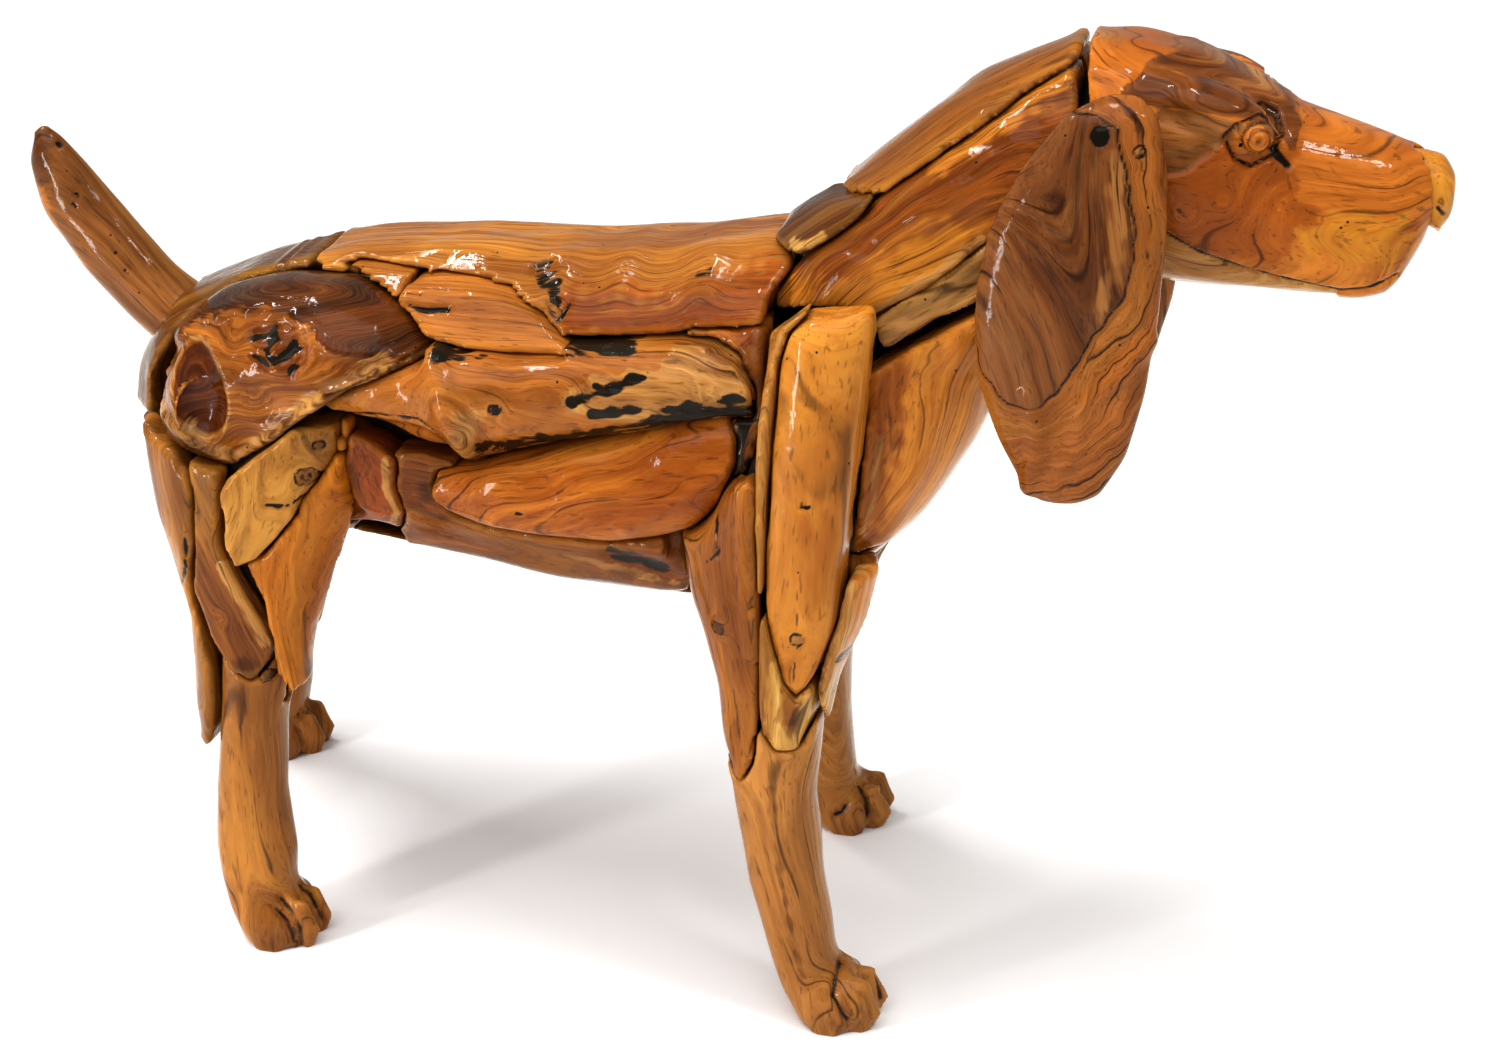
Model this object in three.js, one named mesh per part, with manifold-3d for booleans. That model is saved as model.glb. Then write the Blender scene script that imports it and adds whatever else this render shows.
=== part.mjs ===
// A life-size standing hound built up from pieces of teak root. Thick slabs of root are fitted
// like paving on a dark inner body, with open joints between them, and lacquered. The dog faces
// +X, its right side is -Y, Z is up and the floor is z = 0. Units are millimetres.
//
// Outlines and stations are drawn in the side view, as [x, z], for a statue 842 high, and unit
// turns them into real sizes. Slab and joint sizes are real sizes of their own.
import * as THREE from "three";
import { mergeVertices } from "three/addons/utils/BufferGeometryUtils.js";
import Module from "manifold-3d";

const wasm = await Module();
wasm.setup();

// Driving sizes
const HEIGHT = 842; // floor to the top of the skull
const unit = HEIGHT / 842;

const BODY_SLAB = 34; // thickness of the root slabs on the body
const NECK_SLAB = 30;
const LEG_SLAB = 21;
const JOINT = 3.2; // open joint between neighbouring slabs
const LAP = 34; // how far the feet reach up behind the ends of the slabs
const SEAT = 0.5; // clearance of a slab on the inner body
const NOSE_SEAT = 0.5; // seam round the inset nose
const FORE_SWING = 54 * unit; // how far the left front foot stands behind the right one
const HIND_SWING = 132 * unit;
const FORE_TOP = 398 * unit; // the left front leg leans back from this height down
const HIND_TOP = 600 * unit; // and the left hind leg from this one
const SPLAY = { right: 12 * unit, left: 52 * unit }; // how far the paws stand out from the hips
const SPLAY_TOP = 398 * unit;

const RIGHT = -1;
const LEFT = 1;
const REACH = 300 * unit; // deeper than the dog is wide on either side
const SMOOTH_STEPS = 1; // outline points from one drawn point to the next
const ROUND = 14; // facets around a body section
const LEG_ROUND = 12;
const CORE_ROUND = 8; // and around the hidden inner body

const TEAK = { roughness: 0.25, metalness: 0 };
const WOOD = {
  amber: 0xa8601f,
  orange: 0x9a4a1a,
  red: 0x7d3312,
  dark: 0x4b2814,
  pale: 0xc39552,
  gold: 0xb98a2f,
  core: 0x1c120b,
};

// Closed solids

function solid(geometry) {
  const bare = new THREE.BufferGeometry();
  bare.setAttribute("position", geometry.getAttribute("position").clone());
  if (geometry.index) bare.setIndex(geometry.index.clone());
  const merged = mergeVertices(bare, 1e-3);
  const vertProperties = merged.attributes.position.array;
  const triVerts = new Uint32Array(merged.index.array);
  const made = new wasm.Manifold(new wasm.Mesh({ numProp: 3, vertProperties, triVerts }));
  if (made.volume() > 0) return made;
  return new wasm.Manifold(new wasm.Mesh({ numProp: 3, vertProperties, triVerts: triVerts.reverse() }));
}

// A station is a pair of points on the silhouette in the side view, the half width across the
// pair, the y of its middle, the squareness of its section (2 is an ellipse) and how much
// narrower its first point's side is.
function station(x1, z1, x2, z2, width, y = 0, power = 2.3, pear = 0) {
  const drawn = [x1, z1, x2, z2, width, y].map((v) => v * unit);
  return [...drawn, power, pear];
}

// In-between stations on a smooth curve through the given ones.
function eased(stations, steps) {
  const rows = [];
  const at = (i) => stations[Math.min(Math.max(i, 0), stations.length - 1)];
  for (let i = 0; i < stations.length - 1; i++)
    for (let k = 0; k < steps; k++) {
      const t = k / steps;
      rows.push(
        at(i).map((b, j) => {
          const [a, c, d] = [at(i - 1)[j], at(i + 1)[j], at(i + 2)[j]];
          const bend = 2 * a - 5 * b + 4 * c - d;
          return b + 0.5 * t * (c - a + t * (bend + t * (3 * (b - c) + d - a)));
        }),
      );
    }
  return [...rows, stations.at(-1)];
}

// The stations of the inner body under slabs of one thickness: every second one, and none where
// the form is too slight to have an inner body
function within(stations, slab) {
  const rows = stations.filter((row) => {
    const height = Math.hypot(row[0] - row[2], row[1] - row[3]) / 2;
    return row[4] > slab + 9 * unit && height > slab + 9 * unit;
  });
  const fewer = rows.filter((_, i) => i % 2 === 0 || i === rows.length - 1);
  return fewer.map(([x1, z1, x2, z2, width, ...rest]) => {
    const share = (2 * slab) / Math.hypot(x1 - x2, z1 - z2) / 2;
    const [dx, dz] = [(x2 - x1) * share, (z2 - z1) * share];
    return [x1 + dx, z1 + dz, x2 - dx, z2 - dz, width - slab, ...rest];
  });
}

// The solid through a row of stations, larger all over by grow when it is a cutter with
// clearance
function loft(stations, { grow = 0, around = ROUND, steps = 1 } = {}) {
  const rows = eased(stations, steps);
  const middle = (row) => new THREE.Vector3((row[0] + row[2]) / 2, row[5], (row[1] + row[3]) / 2);
  const points = [];
  const faces = [];
  rows.forEach((row, i) => {
    const [x1, z1, x2, z2, width, , power, pear] = row;
    const half = new THREE.Vector3((x1 - x2) / 2, 0, (z1 - z2) / 2);
    const height = half.length();
    const centre = middle(row);
    if (i === 0 || i === rows.length - 1) {
      const inner = middle(rows[i === 0 ? 1 : i - 1]);
      centre.addScaledVector(centre.clone().sub(inner).normalize(), grow);
    }
    half.setLength(height + grow);
    const side = width + grow;
    for (let k = 0; k < around; k++) {
      const angle = (2 * Math.PI * k) / around;
      const up = Math.sign(Math.sin(angle)) * Math.abs(Math.sin(angle)) ** (2 / power);
      const out = Math.sign(Math.cos(angle)) * Math.abs(Math.cos(angle)) ** (2 / power);
      const y = centre.y + side * out * (1 - pear * up);
      points.push(centre.x + half.x * up, y, centre.z + half.z * up);
    }
    if (i === 0) return;
    for (let k = 0; k < around; k++) {
      const next = (k + 1) % around;
      const [a, b] = [(i - 1) * around + k, (i - 1) * around + next];
      faces.push(a, b, a + around, b, b + around, a + around);
    }
  });
  const last = (rows.length - 1) * around;
  for (let k = 1; k < around - 1; k++) {
    faces.push(0, k + 1, k);
    faces.push(last, last + k, last + k + 1);
  }
  const geometry = new THREE.BufferGeometry();
  geometry.setAttribute("position", new THREE.Float32BufferAttribute(points, 3));
  return solid(geometry.setIndex(faces));
}

function ball(x, y, z, rx, ry, rz, { dip = 0, detail = 10, grow = 0 } = {}) {
  const geometry = new THREE.SphereGeometry(1, detail, Math.round(detail * 0.65));
  geometry.scale(rx * unit + grow, ry * unit + grow, rz * unit + grow).rotateY(dip);
  return solid(geometry.translate(x * unit, y * unit, z * unit));
}

// A block of space between two corners, for cutting flat ends
function block(x1, x2, y1, y2, z1, z2) {
  const geometry = new THREE.BoxGeometry(x2 - x1, y2 - y1, z2 - z1);
  return solid(geometry.translate((x1 + x2) / 2, (y1 + y2) / 2, (z1 + z2) / 2));
}

// Outlines of the slabs in the side view. A third value of 1 marks a corner, and the outline
// runs smoothly from one corner to the next.
function smoothed(drawn) {
  const points = drawn.map(([x, z, corner]) => {
    return { at: new THREE.Vector3(x * unit, 0, z * unit), corner };
  });
  const start = points.findIndex((p) => p.corner);
  if (start < 0) {
    const curve = new THREE.CatmullRomCurve3(points.map((p) => p.at), true);
    return curve.getPoints(Math.ceil(points.length * SMOOTH_STEPS)).slice(0, -1);
  }
  const turned = [...points.slice(start), ...points.slice(0, start), points[start]];
  const smooth = [];
  let run = [turned[0].at];
  for (const point of turned.slice(1)) {
    run.push(point.at);
    if (!point.corner) continue;
    const bends = run.length > 2 ? Math.ceil(SMOOTH_STEPS * (run.length - 1)) : 1;
    smooth.push(...new THREE.CatmullRomCurve3(run).getPoints(bends).slice(0, -1));
    run = [point.at];
  }
  return smooth;
}

// The same outline moved outwards by gap
function widened(outline, gap) {
  let area = 0;
  outline.forEach((a, i) => {
    const b = outline[(i + 1) % outline.length];
    area += a.x * b.z - b.x * a.z;
  });
  const outward = Math.sign(area);
  return outline.map((p, i) => {
    const before = outline.at(i - 1);
    const after = outline[(i + 1) % outline.length];
    const normal = (a, b) => new THREE.Vector3(b.z - a.z, 0, a.x - b.x).normalize();
    const both = normal(before, p).add(normal(p, after)).normalize();
    const miter = Math.min(1 / Math.max(both.dot(normal(before, p)), 0.1), 2.2);
    return p.clone().addScaledVector(both, outward * gap * miter);
  });
}

// The space behind an outline, from y = from to y = to
function prism(outline, from, to) {
  const shape = new THREE.Shape(outline.map((p) => new THREE.Vector2(p.x, p.z)));
  const depth = Math.abs(to - from);
  const geometry = new THREE.ExtrudeGeometry(shape, { depth, bevelEnabled: false, steps: 1 });
  return solid(geometry.rotateX(Math.PI / 2).translate(0, Math.max(from, to), 0));
}

// Forms: the dog as it would be without joints

const torso = [
  station(-500, 502, -500, 470, 24),
  station(-487, 528, -487, 425, 62),
  station(-454, 568, -454, 380, 102),
  station(-384, 600, -384, 362, 126),
  station(-290, 627, -290, 360, 126),
  station(-190, 638, -190, 347, 124),
  station(-90, 641, -90, 336, 130),
  station(0, 651, 0, 335, 134),
  station(80, 666, 80, 348, 134),
  station(160, 668, 160, 385, 122),
  station(212, 655, 206, 440, 100),
  station(246, 630, 240, 500, 74),
  station(262, 600, 258, 550, 34),
];
const neck = [
  station(40, 640, 190, 470, 84),
  station(96, 682, 250, 545, 108, 0, 2.2),
  station(166, 744, 296, 592, 100, 0, 2.2),
  station(228, 798, 336, 622, 92, 0, 2.2),
  station(311, 837, 362, 636, 84, 0, 2.2),
];
const skull = [
  station(314, 836, 352, 645, 80, 0, 2.2),
  station(350, 838, 384, 645, 88, 0, 2.3),
  station(398, 826, 414, 645, 88, 0, 2.4, 0.04),
  station(440, 806, 446, 646, 77, 0, 2.5, 0.12),
  station(468, 791, 474, 645, 66, 0, 2.6, 0.2),
  station(510, 779, 510, 645, 58, 0, 2.6, 0.22),
  station(546, 768, 542, 650, 53, 0, 2.6, 0.2),
  station(568, 759, 564, 672, 40, 0, 2.5, 0.15),
  station(577, 754, 576, 696, 24, 0, 2.3),
];
const tail = [
  station(-583, 699, -592, 690, 5, 0, 2),
  station(-569, 694, -599, 668, 16, 0, 2),
  station(-542, 663, -588, 621, 23, 0, 2),
  station(-511, 626, -559, 579, 26, 0, 2),
  station(-480, 586, -524, 541, 28, 0, 2),
  station(-430, 549, -470, 490, 29, 0, 2),
];

// The left legs lean back by their swing at the floor, and all four stand out by their splay
const leaned = (x, z, swing, top) => x - swing * Math.max(0, 1 - z / top);
const splayed = (y, z, side) => {
  const out = side === RIGHT ? SPLAY.right : SPLAY.left;
  return y + side * out * Math.max(0, 1 - z / SPLAY_TOP);
};
function leaning(stations, side, swing, top) {
  const back = side === RIGHT ? 0 : swing;
  return stations.map(([x1, z1, x2, z2, width, y, ...rest]) => {
    const moved = [leaned(x1, z1, back, top), z1, leaned(x2, z2, back, top), z2];
    return [...moved, width, splayed(y, z1, side), ...rest];
  });
}

// The legs, from the floor up: front and rear points at one height
function foreLeg(side) {
  const level = (z, front, rear, width, y, power = 2.4) => {
    return station(front, z, rear, z, width, side * y, power);
  };
  const rows = [
    level(0, 158, 128, 27, 128),
    level(28, 162, 110, 30, 127),
    level(72, 154, 95, 32, 125),
    level(130, 143, 79, 35, 123),
    level(205, 135, 66, 39, 120),
    level(262, 138, 55, 43, 118),
    level(318, 150, 49, 49, 115),
    level(380, 173, 27, 56, 111),
    level(440, 186, 16, 60, 108),
    level(500, 188, 44, 61, 105),
    level(580, 184, 84, 56, 104),
    level(652, 182, 92, 46, 92),
  ];
  return leaning(rows, side, FORE_SWING, FORE_TOP);
}
function hindLeg(side) {
  const level = (z, front, rear, width, y, power = 2.4) => {
    return station(front, z, rear, z, width, side * y, power);
  };
  const rows = [
    level(172, -322, -418, 36, 120),
    level(225, -322, -424, 39, 119),
    level(275, -318, -422, 43, 117),
    level(318, -308, -423, 47, 114),
    level(360, -296, -435, 54, 109),
    level(402, -278, -450, 62, 102),
    level(452, -262, -458, 70, 93),
    level(510, -254, -458, 72, 86),
    level(560, -270, -430, 58, 80),
  ];
  return leaning(rows, side, HIND_SWING, HIND_TOP);
}
function hindFoot(side) {
  const level = (z, front, rear, width, y, power = 2.4) => {
    return station(front, z, rear, z, width, side * y, power);
  };
  const rows = [
    level(0, -352, -390, 28, 128),
    level(30, -346, -404, 32, 127),
    level(85, -342, -413, 34, 125),
    level(140, -349, -409, 34, 124),
    level(215, -345, -400, 36, 121),
    level(262, -336, -395, 40, 119),
    level(330, -320, -392, 38, 115),
  ];
  return leaning(rows, side, HIND_SWING, HIND_TOP);
}

// A paw: a broad pad with four toes, cut flat on the floor. x, y is the middle of its toes, and
// each toe has its place ahead, its place aside and the height of its knuckle.
function paw(x, y, side) {
  const spread = [
    [-8, 27, 44],
    [12, 16, 50],
    [13, -9, 50],
    [-4, -27, 44],
  ];
  const pad = ball(x - 14, y, 21, 34, 40, 39, { detail: 8 });
  return spread.reduce((whole, [ahead, aside, top]) => {
    const [low, high] = [top / 3, (top * 2) / 3];
    return whole.add(ball(x + ahead, y + side * aside, low, 25, 12.5, high, { detail: 6 }));
  }, pad);
}

// The inner body

const bodyRows = within(torso.slice(2, -1), BODY_SLAB);
const neckRows = within(neck, NECK_SLAB);
const bodyCore = loft(bodyRows, { around: CORE_ROUND });
const bodyBed = loft(bodyRows, { around: CORE_ROUND, grow: SEAT });
const neckCore = loft(neckRows, { around: CORE_ROUND }).subtract(bodyBed);
const bedCore = bodyBed.add(loft(neckRows, { around: CORE_ROUND, grow: SEAT }));

const FOOT_TOP = 232 * unit; // the legs' inner wood ends here, in the top of the foot piece
const CORE_TOP = 560 * unit;

function legCore(stations, grow) {
  const lower = block(-REACH * 3, REACH * 3, -REACH, REACH, FOOT_TOP - grow, CORE_TOP + grow);
  return loft(within(stations, LEG_SLAB), { grow, around: CORE_ROUND }).intersect(lower);
}

// Keeps the main piece where cutting left crumbs
function largest(made) {
  const parts = made.decompose();
  return parts.reduce((best, p) => (p.volume() > best.volume() ? p : best), parts[0]);
}

const nodes = [];
function piece(name, made, colour) {
  nodes.push({ name, made: largest(made), colour });
}

// Slabs of one side. Each is the form behind its outline, on the bed of the inner body, cut
// back by the joint from every slab that was fitted before it. What crosses the dog's middle is
// cut back by spaces, which are as deep as the slabs, or only as deep as the form within.
function sideSlabs(side) {
  const fitted = [];
  const spaces = [];
  const legs = {
    fore: { form: foreLeg(side), mid: 112 * unit, swing: FORE_SWING, top: FORE_TOP },
    hind: { form: hindLeg(side), mid: 106 * unit, swing: HIND_SWING, top: HIND_TOP },
  };
  const beds = bedCore.add(legCore(legs.fore.form, SEAT)).add(legCore(legs.hind.form, SEAT));

  const fit = (drawn, form, { mid = JOINT / 2, swing = 0, top = 1 }, within) => {
    const outline = smoothed(drawn).map((p) => {
      return side === RIGHT ? p : new THREE.Vector3(leaned(p.x, p.z, swing, top), 0, p.z);
    });
    let made = form.intersect(prism(outline, side * mid, side * REACH)).subtract(beds);
    for (const other of fitted) made = made.subtract(other);
    const inside = mid > JOINT ? mid - JOINT : 0;
    const cutter = prism(widened(outline, JOINT), side * inside, side * REACH);
    fitted.push(cutter);
    spaces.push(within ? cutter.intersect(within) : cutter);
    return made;
  };
  return { fitted, spaces, legs, beds, fit };
}

// A torso form whose flanks stand out by this much more
const raised = (out) => loft(torso.map((row) => row.with(4, row[4] + out * unit)));

// Slabs that stand out from the flanks and the shoulder in shapes of their own: stations along
// the slab, out from the dog's side by y
function flankRoot(side) {
  return loft([
    station(-300, 548, -300, 506, 62, side * 70, 2),
    station(-232, 588, -232, 488, 74, side * 72, 1.8),
    station(-168, 604, -156, 462, 92, side * 68, 1.5, -0.12),
    station(-110, 606, -112, 474, 84, side * 68, 1.7, -0.05),
    station(-40, 614, -46, 490, 78, side * 70, 1.9),
    station(30, 618, 24, 504, 72, side * 74, 2),
    station(90, 612, 90, 530, 58, side * 78, 2),
  ]);
}
function lowerRoot(side) {
  return loft([
    station(-208, 476, -208, 420, 38, side * 84, 2),
    station(-140, 500, -140, 406, 58, side * 84, 2),
    station(-40, 528, -40, 404, 66, side * 82, 2),
    station(30, 552, 30, 414, 66, side * 82, 2),
    station(76, 560, 76, 440, 54, side * 84, 2),
  ]);
}
function tusk(side, swing) {
  const level = (z, front, rear, width, y) => station(front, z, rear, z, width, side * y, 2);
  const rows = [
    level(300, 150, 104, 22, 128),
    level(330, 162, 84, 42, 118),
    level(400, 176, 76, 56, 112),
    level(480, 182, 76, 62, 108),
    level(560, 192, 80, 62, 102),
    level(620, 196, 86, 56, 98),
    level(656, 196, 92, 44, 92),
  ];
  return loft(leaning(rows, side, swing, FORE_TOP), { around: LEG_ROUND });
}

const outlines = {
  hip_burl: [
    [-452, 496], [-447, 532], [-424, 568], [-386, 597], [-338, 614], [-294, 615], [-244, 605],
    [-215, 594], [-188, 568, 1], [-213, 562], [-248, 547], [-287, 522], [-323, 491],
    [-363, 464, 1], [-401, 474], [-434, 482],
  ],
  back_strip: [[-296, 615, 1], [-262, 618], [-238, 617], [-214, 616, 1], [-212, 590, 1], [-236, 600]],
  flank_leaf: [
    [-226, 598, 1], [-223, 613, 1], [-200, 617], [-170, 618], [-136, 613], [-105, 602],
    [-73, 579, 1], [-126, 577], [-169, 577], [-205, 582],
  ],
  flank_upper: [
    [-286, 525, 1], [-253, 548], [-208, 572], [-160, 582], [-90, 586], [-10, 594], [40, 598],
    [64, 590], [79, 568], [80, 545, 1], [32, 541], [-12, 522], [-76, 508], [-126, 489],
    [-158, 474, 1], [-196, 483], [-226, 501], [-262, 509],
  ],
  flank_lower: [
    [-189, 467], [-160, 475], [-112, 489], [-60, 505], [-10, 521], [56, 545, 1], [66, 524],
    [62, 500], [52, 470], [32, 446, 1], [-4, 429], [-46, 421], [-97, 420], [-150, 421], [-182, 430],
    [-194, 448],
  ],
  flank_block: [
    [-273, 500, 1], [-240, 486], [-227, 472, 1], [-232, 448], [-226, 424], [-236, 402, 1],
    [-284, 405], [-288, 440], [-280, 474],
  ],
  rib_block: [[20, 602, 1], [82, 610, 1], [88, 540], [88, 486, 1], [58, 474, 1], [30, 540]],
  belly_slab: [
    [-232, 480, 1], [30, 492, 1], [14, 440], [20, 392, 1], [8, 352, 1], [-70, 345], [-120, 351],
    [-176, 363], [-236, 374, 1], [-240, 420],
  ],
  neck_slab: [
    [84, 616, 1], [86, 633], [104, 655], [132, 679], [170, 713], [196, 734], [240, 768],
    [274, 796], [306, 816, 1], [312, 795, 1], [305, 740], [284, 710], [254, 694], [212, 657],
    [168, 628, 1], [138, 631], [114, 627],
  ],
  neck_bark: [
    [168, 628, 1], [212, 657], [256, 694], [300, 712, 1], [296, 668], [250, 648], [216, 628],
    [178, 604, 1],
  ],
  withers_chip: [
    [76, 661], [82, 675], [98, 688], [118, 701], [138, 703], [160, 711, 1], [150, 697],
    [130, 681], [104, 664],
  ],
  chest_slab: [
    [163, 576, 1], [196, 599], [226, 617], [252, 634, 1], [300, 640, 1], [300, 560], [260, 470],
    [214, 420], [186, 417], [150, 422, 1], [156, 470],
  ],
  thigh_patch: [
    [-306, 506, 1], [-271, 506, 1], [-275, 478], [-290, 456], [-303, 442, 1], [-306, 429],
    [-320, 411], [-338, 391], [-356, 382], [-363, 400], [-360, 428], [-364, 446], [-357, 460],
    [-331, 482],
  ],
  thigh_rear: [
    [-495, 478, 1], [-495, 404], [-475, 304], [-450, 244], [-429, 200], [-408, 194, 1],
    [-400, 214], [-395, 244], [-394, 276], [-401, 302], [-409, 338], [-407, 366], [-399, 398],
    [-397, 434], [-397, 456], [-415, 480], [-441, 492, 1],
  ],
  thigh_mid: [
    [-398, 492, 1], [-366, 484, 1], [-370, 444], [-374, 399], [-362, 366], [-344, 330],
    [-335, 306], [-340, 290, 1], [-356, 270], [-372, 280], [-390, 312], [-402, 350],
    [-396, 390], [-393, 440],
  ],
  thigh_front: [
    [-318, 500, 1], [-262, 520, 1], [-265, 498], [-274, 466], [-270, 430], [-262, 402],
    [-274, 374], [-288, 346], [-300, 308], [-312, 276], [-324, 252, 1], [-333, 276],
    [-334, 312], [-338, 350], [-350, 386], [-362, 420], [-352, 462],
  ],
  shoulder_tusk: [
    [124, 634, 1], [172, 641, 1], [174, 624], [171, 592], [167, 544], [160, 471], [153, 384],
    [138, 337], [123, 318, 1], [113, 330], [104, 366], [99, 398], [100, 465], [102, 527],
    [104, 594], [112, 622],
  ],
  shoulder_strip: [
    [92, 612, 1], [124, 640, 1], [114, 560], [112, 480], [112, 420], [118, 352], [136, 322],
    [135, 292], [124, 268], [108, 268], [98, 284], [95, 350], [95, 404], [91, 480], [90, 560],
  ],
  foreleg_rear: [
    [10, 470, 1], [56, 484], [86, 504, 1], [88, 436], [92, 346], [92, 296], [86, 252],
    [76, 232, 1], [50, 262], [40, 320], [16, 370], [6, 420],
  ],
  foreleg_front: [
    [163, 420, 1], [204, 428, 1], [200, 380], [186, 320], [170, 262], [150, 226, 1], [141, 262],
    [140, 320], [152, 372],
  ],
};

// The left side is plainer, so on the legs broader slabs take the place of several
const broader = {
  ...outlines,
  thigh_front: [
    [-388, 492, 1], [-318, 500], [-262, 520, 1], [-265, 498], [-274, 466], [-270, 430],
    [-262, 402], [-274, 374], [-288, 346], [-300, 308], [-316, 276], [-340, 252, 1], [-372, 276],
    [-392, 312], [-400, 350], [-392, 390], [-388, 440],
  ],
  foreleg_rear: [
    [10, 470, 1], [60, 600], [120, 636, 1], [112, 560], [108, 470], [108, 400], [118, 340],
    [128, 300], [118, 256], [96, 238, 1], [62, 262], [40, 320], [16, 370], [6, 420],
  ],
};

function rightAndLeft(side, names) {
  const tag = side === RIGHT ? "right" : "left";
  const { fitted, spaces, legs, beds, fit } = sideSlabs(side);
  const foreForm = loft(legs.fore.form, { around: LEG_ROUND });
  const hindForm = loft(legs.hind.form, { around: LEG_ROUND });
  const torsoForm = loft(torso);
  const neckForm = loft(neck);
  const hipHeight = side === RIGHT ? 531 : 512;
  const domeOf = (grow) => ball(-304, side * 78, hipHeight, 136, 88, 83, { detail: 14, grow });
  const dome = domeOf(0);
  const knob = ball(-380, side * 92, 507, 62, 72, 66, { detail: 12 });
  const face = ball(-326, side * 184, 522, 82, 32, 42, { detail: 12, dip: -0.38 });
  const hollow = ball(-381, side * 168, 516, 24, 28, 32, { detail: 12 });
  const whole = dome.add(knob);
  const hip = side === RIGHT ? whole.subtract(face).subtract(hollow) : whole;
  const chest = loft(torso, { grow: 4 * unit }).add(loft(neck, { grow: 3 * unit }));
  const forms = {
    hip_burl: hip,
    back_strip: raised(4),
    flank_leaf: raised(12),
    flank_upper: flankRoot(side),
    flank_lower: lowerRoot(side),
    flank_block: raised(2),
    rib_block: torsoForm,
    belly_slab: torsoForm,
    neck_slab: neckForm,
    neck_bark: loft(neck, { grow: -4 * unit }),
    withers_chip: loft(neck, { grow: 6 * unit }),
    chest_slab: chest,
    thigh_patch: loft(legs.hind.form, { grow: 5 * unit, around: LEG_ROUND }),
    thigh_rear: hindForm,
    thigh_mid: hindForm,
    thigh_front: hindForm,
    shoulder_tusk: tusk(side, legs.fore.swing),
    shoulder_strip: foreForm,
    foreleg_rear: foreForm,
    foreleg_front: foreForm,
  };
  const drawn = side === RIGHT ? outlines : broader;
  const made = {};
  for (const [name, colour] of names) {
    let leg = {};
    if (/^thigh/.test(name)) leg = legs.hind;
    if (/^(foreleg|shoulder)/.test(name)) leg = legs.fore;
    const within = name === "hip_burl" ? domeOf(JOINT) : undefined;
    made[name] = { colour, made: fit(drawn[name], forms[name], leg, within) };
  }

  // The inner faces of the legs are one plank each, up to the belly
  const behind = loft(torso, { grow: JOINT });
  const plank = (form, mid, low, high) => {
    const inner = block(-REACH * 3, REACH * 3, -mid + JOINT, REACH, low * unit, high * unit);
    const half = side === RIGHT ? inner : mirrored(inner);
    let made = form.intersect(half).subtract(beds).subtract(behind);
    for (const other of fitted) made = made.subtract(other);
    return made;
  };
  made.foreleg_inner = { colour: WOOD.orange, made: plank(foreForm, legs.fore.mid, 268, 470) };
  made.thigh_inner = { colour: WOOD.amber, made: plank(hindForm, legs.hind.mid, 302, 500) };

  // Feet: the lower leg and its paw in one piece. It is flat on top under the inner plank, and
  // reaches up between the slabs on the outer side.
  const foot = (form, x, y, top, { mid, swing }) => {
    const ahead = side === RIGHT ? x : x - swing / unit;
    const low = block(-REACH * 3, REACH * 3, -REACH, REACH, 0, top * unit);
    const outer = block(-REACH * 3, REACH * 3, mid, REACH, 0, (top + LAP) * unit);
    const stick = low.add(side === RIGHT ? mirrored(outer) : outer);
    const toes = paw(ahead, splayed(side * y, 0, side), side);
    let whole = form.add(toes).intersect(stick).subtract(beds);
    for (const other of fitted) whole = whole.subtract(other);
    return whole;
  };
  const hindStick = loft(hindFoot(side), { around: 10 });
  made.fore_foot = { colour: WOOD.orange, made: foot(foreForm, 163, 126, 264, legs.fore) };
  made.hind_foot = { colour: WOOD.amber, made: foot(hindStick, -351, 126, 298, legs.hind) };

  for (const [name, one] of Object.entries(made)) piece(`${name}_${tag}`, one.made, one.colour);
  piece(`foreleg_core_${tag}`, legCore(legs.fore.form, 0).subtract(bodyBed), WOOD.core);
  piece(`thigh_core_${tag}`, legCore(legs.hind.form, 0).subtract(bodyBed), WOOD.core);
  return { spaces, legs };
}

function mirrored(made) {
  const mesh = made.getMesh();
  const vertProperties = mesh.vertProperties.map((v, i) => (i % mesh.numProp === 1 ? -v : v));
  const triVerts = mesh.triVerts.slice().reverse();
  return new wasm.Manifold(new wasm.Mesh({ numProp: mesh.numProp, vertProperties, triVerts }));
}

const everySlab = [
  ["hip_burl", WOOD.red],
  ["flank_leaf", WOOD.amber],
  ["back_strip", WOOD.dark],
  ["flank_upper", WOOD.orange],
  ["flank_lower", WOOD.orange],
  ["shoulder_tusk", WOOD.amber],
  ["shoulder_strip", WOOD.pale],
  ["thigh_patch", WOOD.pale],
  ["thigh_mid", WOOD.dark],
  ["thigh_rear", WOOD.orange],
  ["thigh_front", WOOD.amber],
  ["foreleg_rear", WOOD.orange],
  ["foreleg_front", WOOD.orange],
  ["withers_chip", WOOD.dark],
  ["neck_slab", WOOD.orange],
  ["neck_bark", WOOD.pale],
  ["chest_slab", WOOD.amber],
  ["flank_block", WOOD.red],
  ["rib_block", WOOD.red],
  ["belly_slab", WOOD.orange],
];
const LEFT_OUT = new Set([
  "back_strip",
  "flank_block",
  "neck_bark",
  "rib_block",
  "shoulder_strip",
  "thigh_mid",
  "thigh_patch",
  "withers_chip",
]);
const leftSlabs = everySlab.filter(([name]) => !LEFT_OUT.has(name));

const right = rightAndLeft(RIGHT, everySlab);
const left = rightAndLeft(LEFT, leftSlabs);
const sides = [...right.spaces, ...left.spaces];
const legForms = [right, left].flatMap(({ legs }) => {
  const grown = { grow: JOINT, around: LEG_ROUND };
  return [loft(legs.fore.form, grown), loft(legs.hind.form, grown)];
});

// Pieces that cross the middle of the dog: rump, back, nape, throat, belly keel and groin

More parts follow.
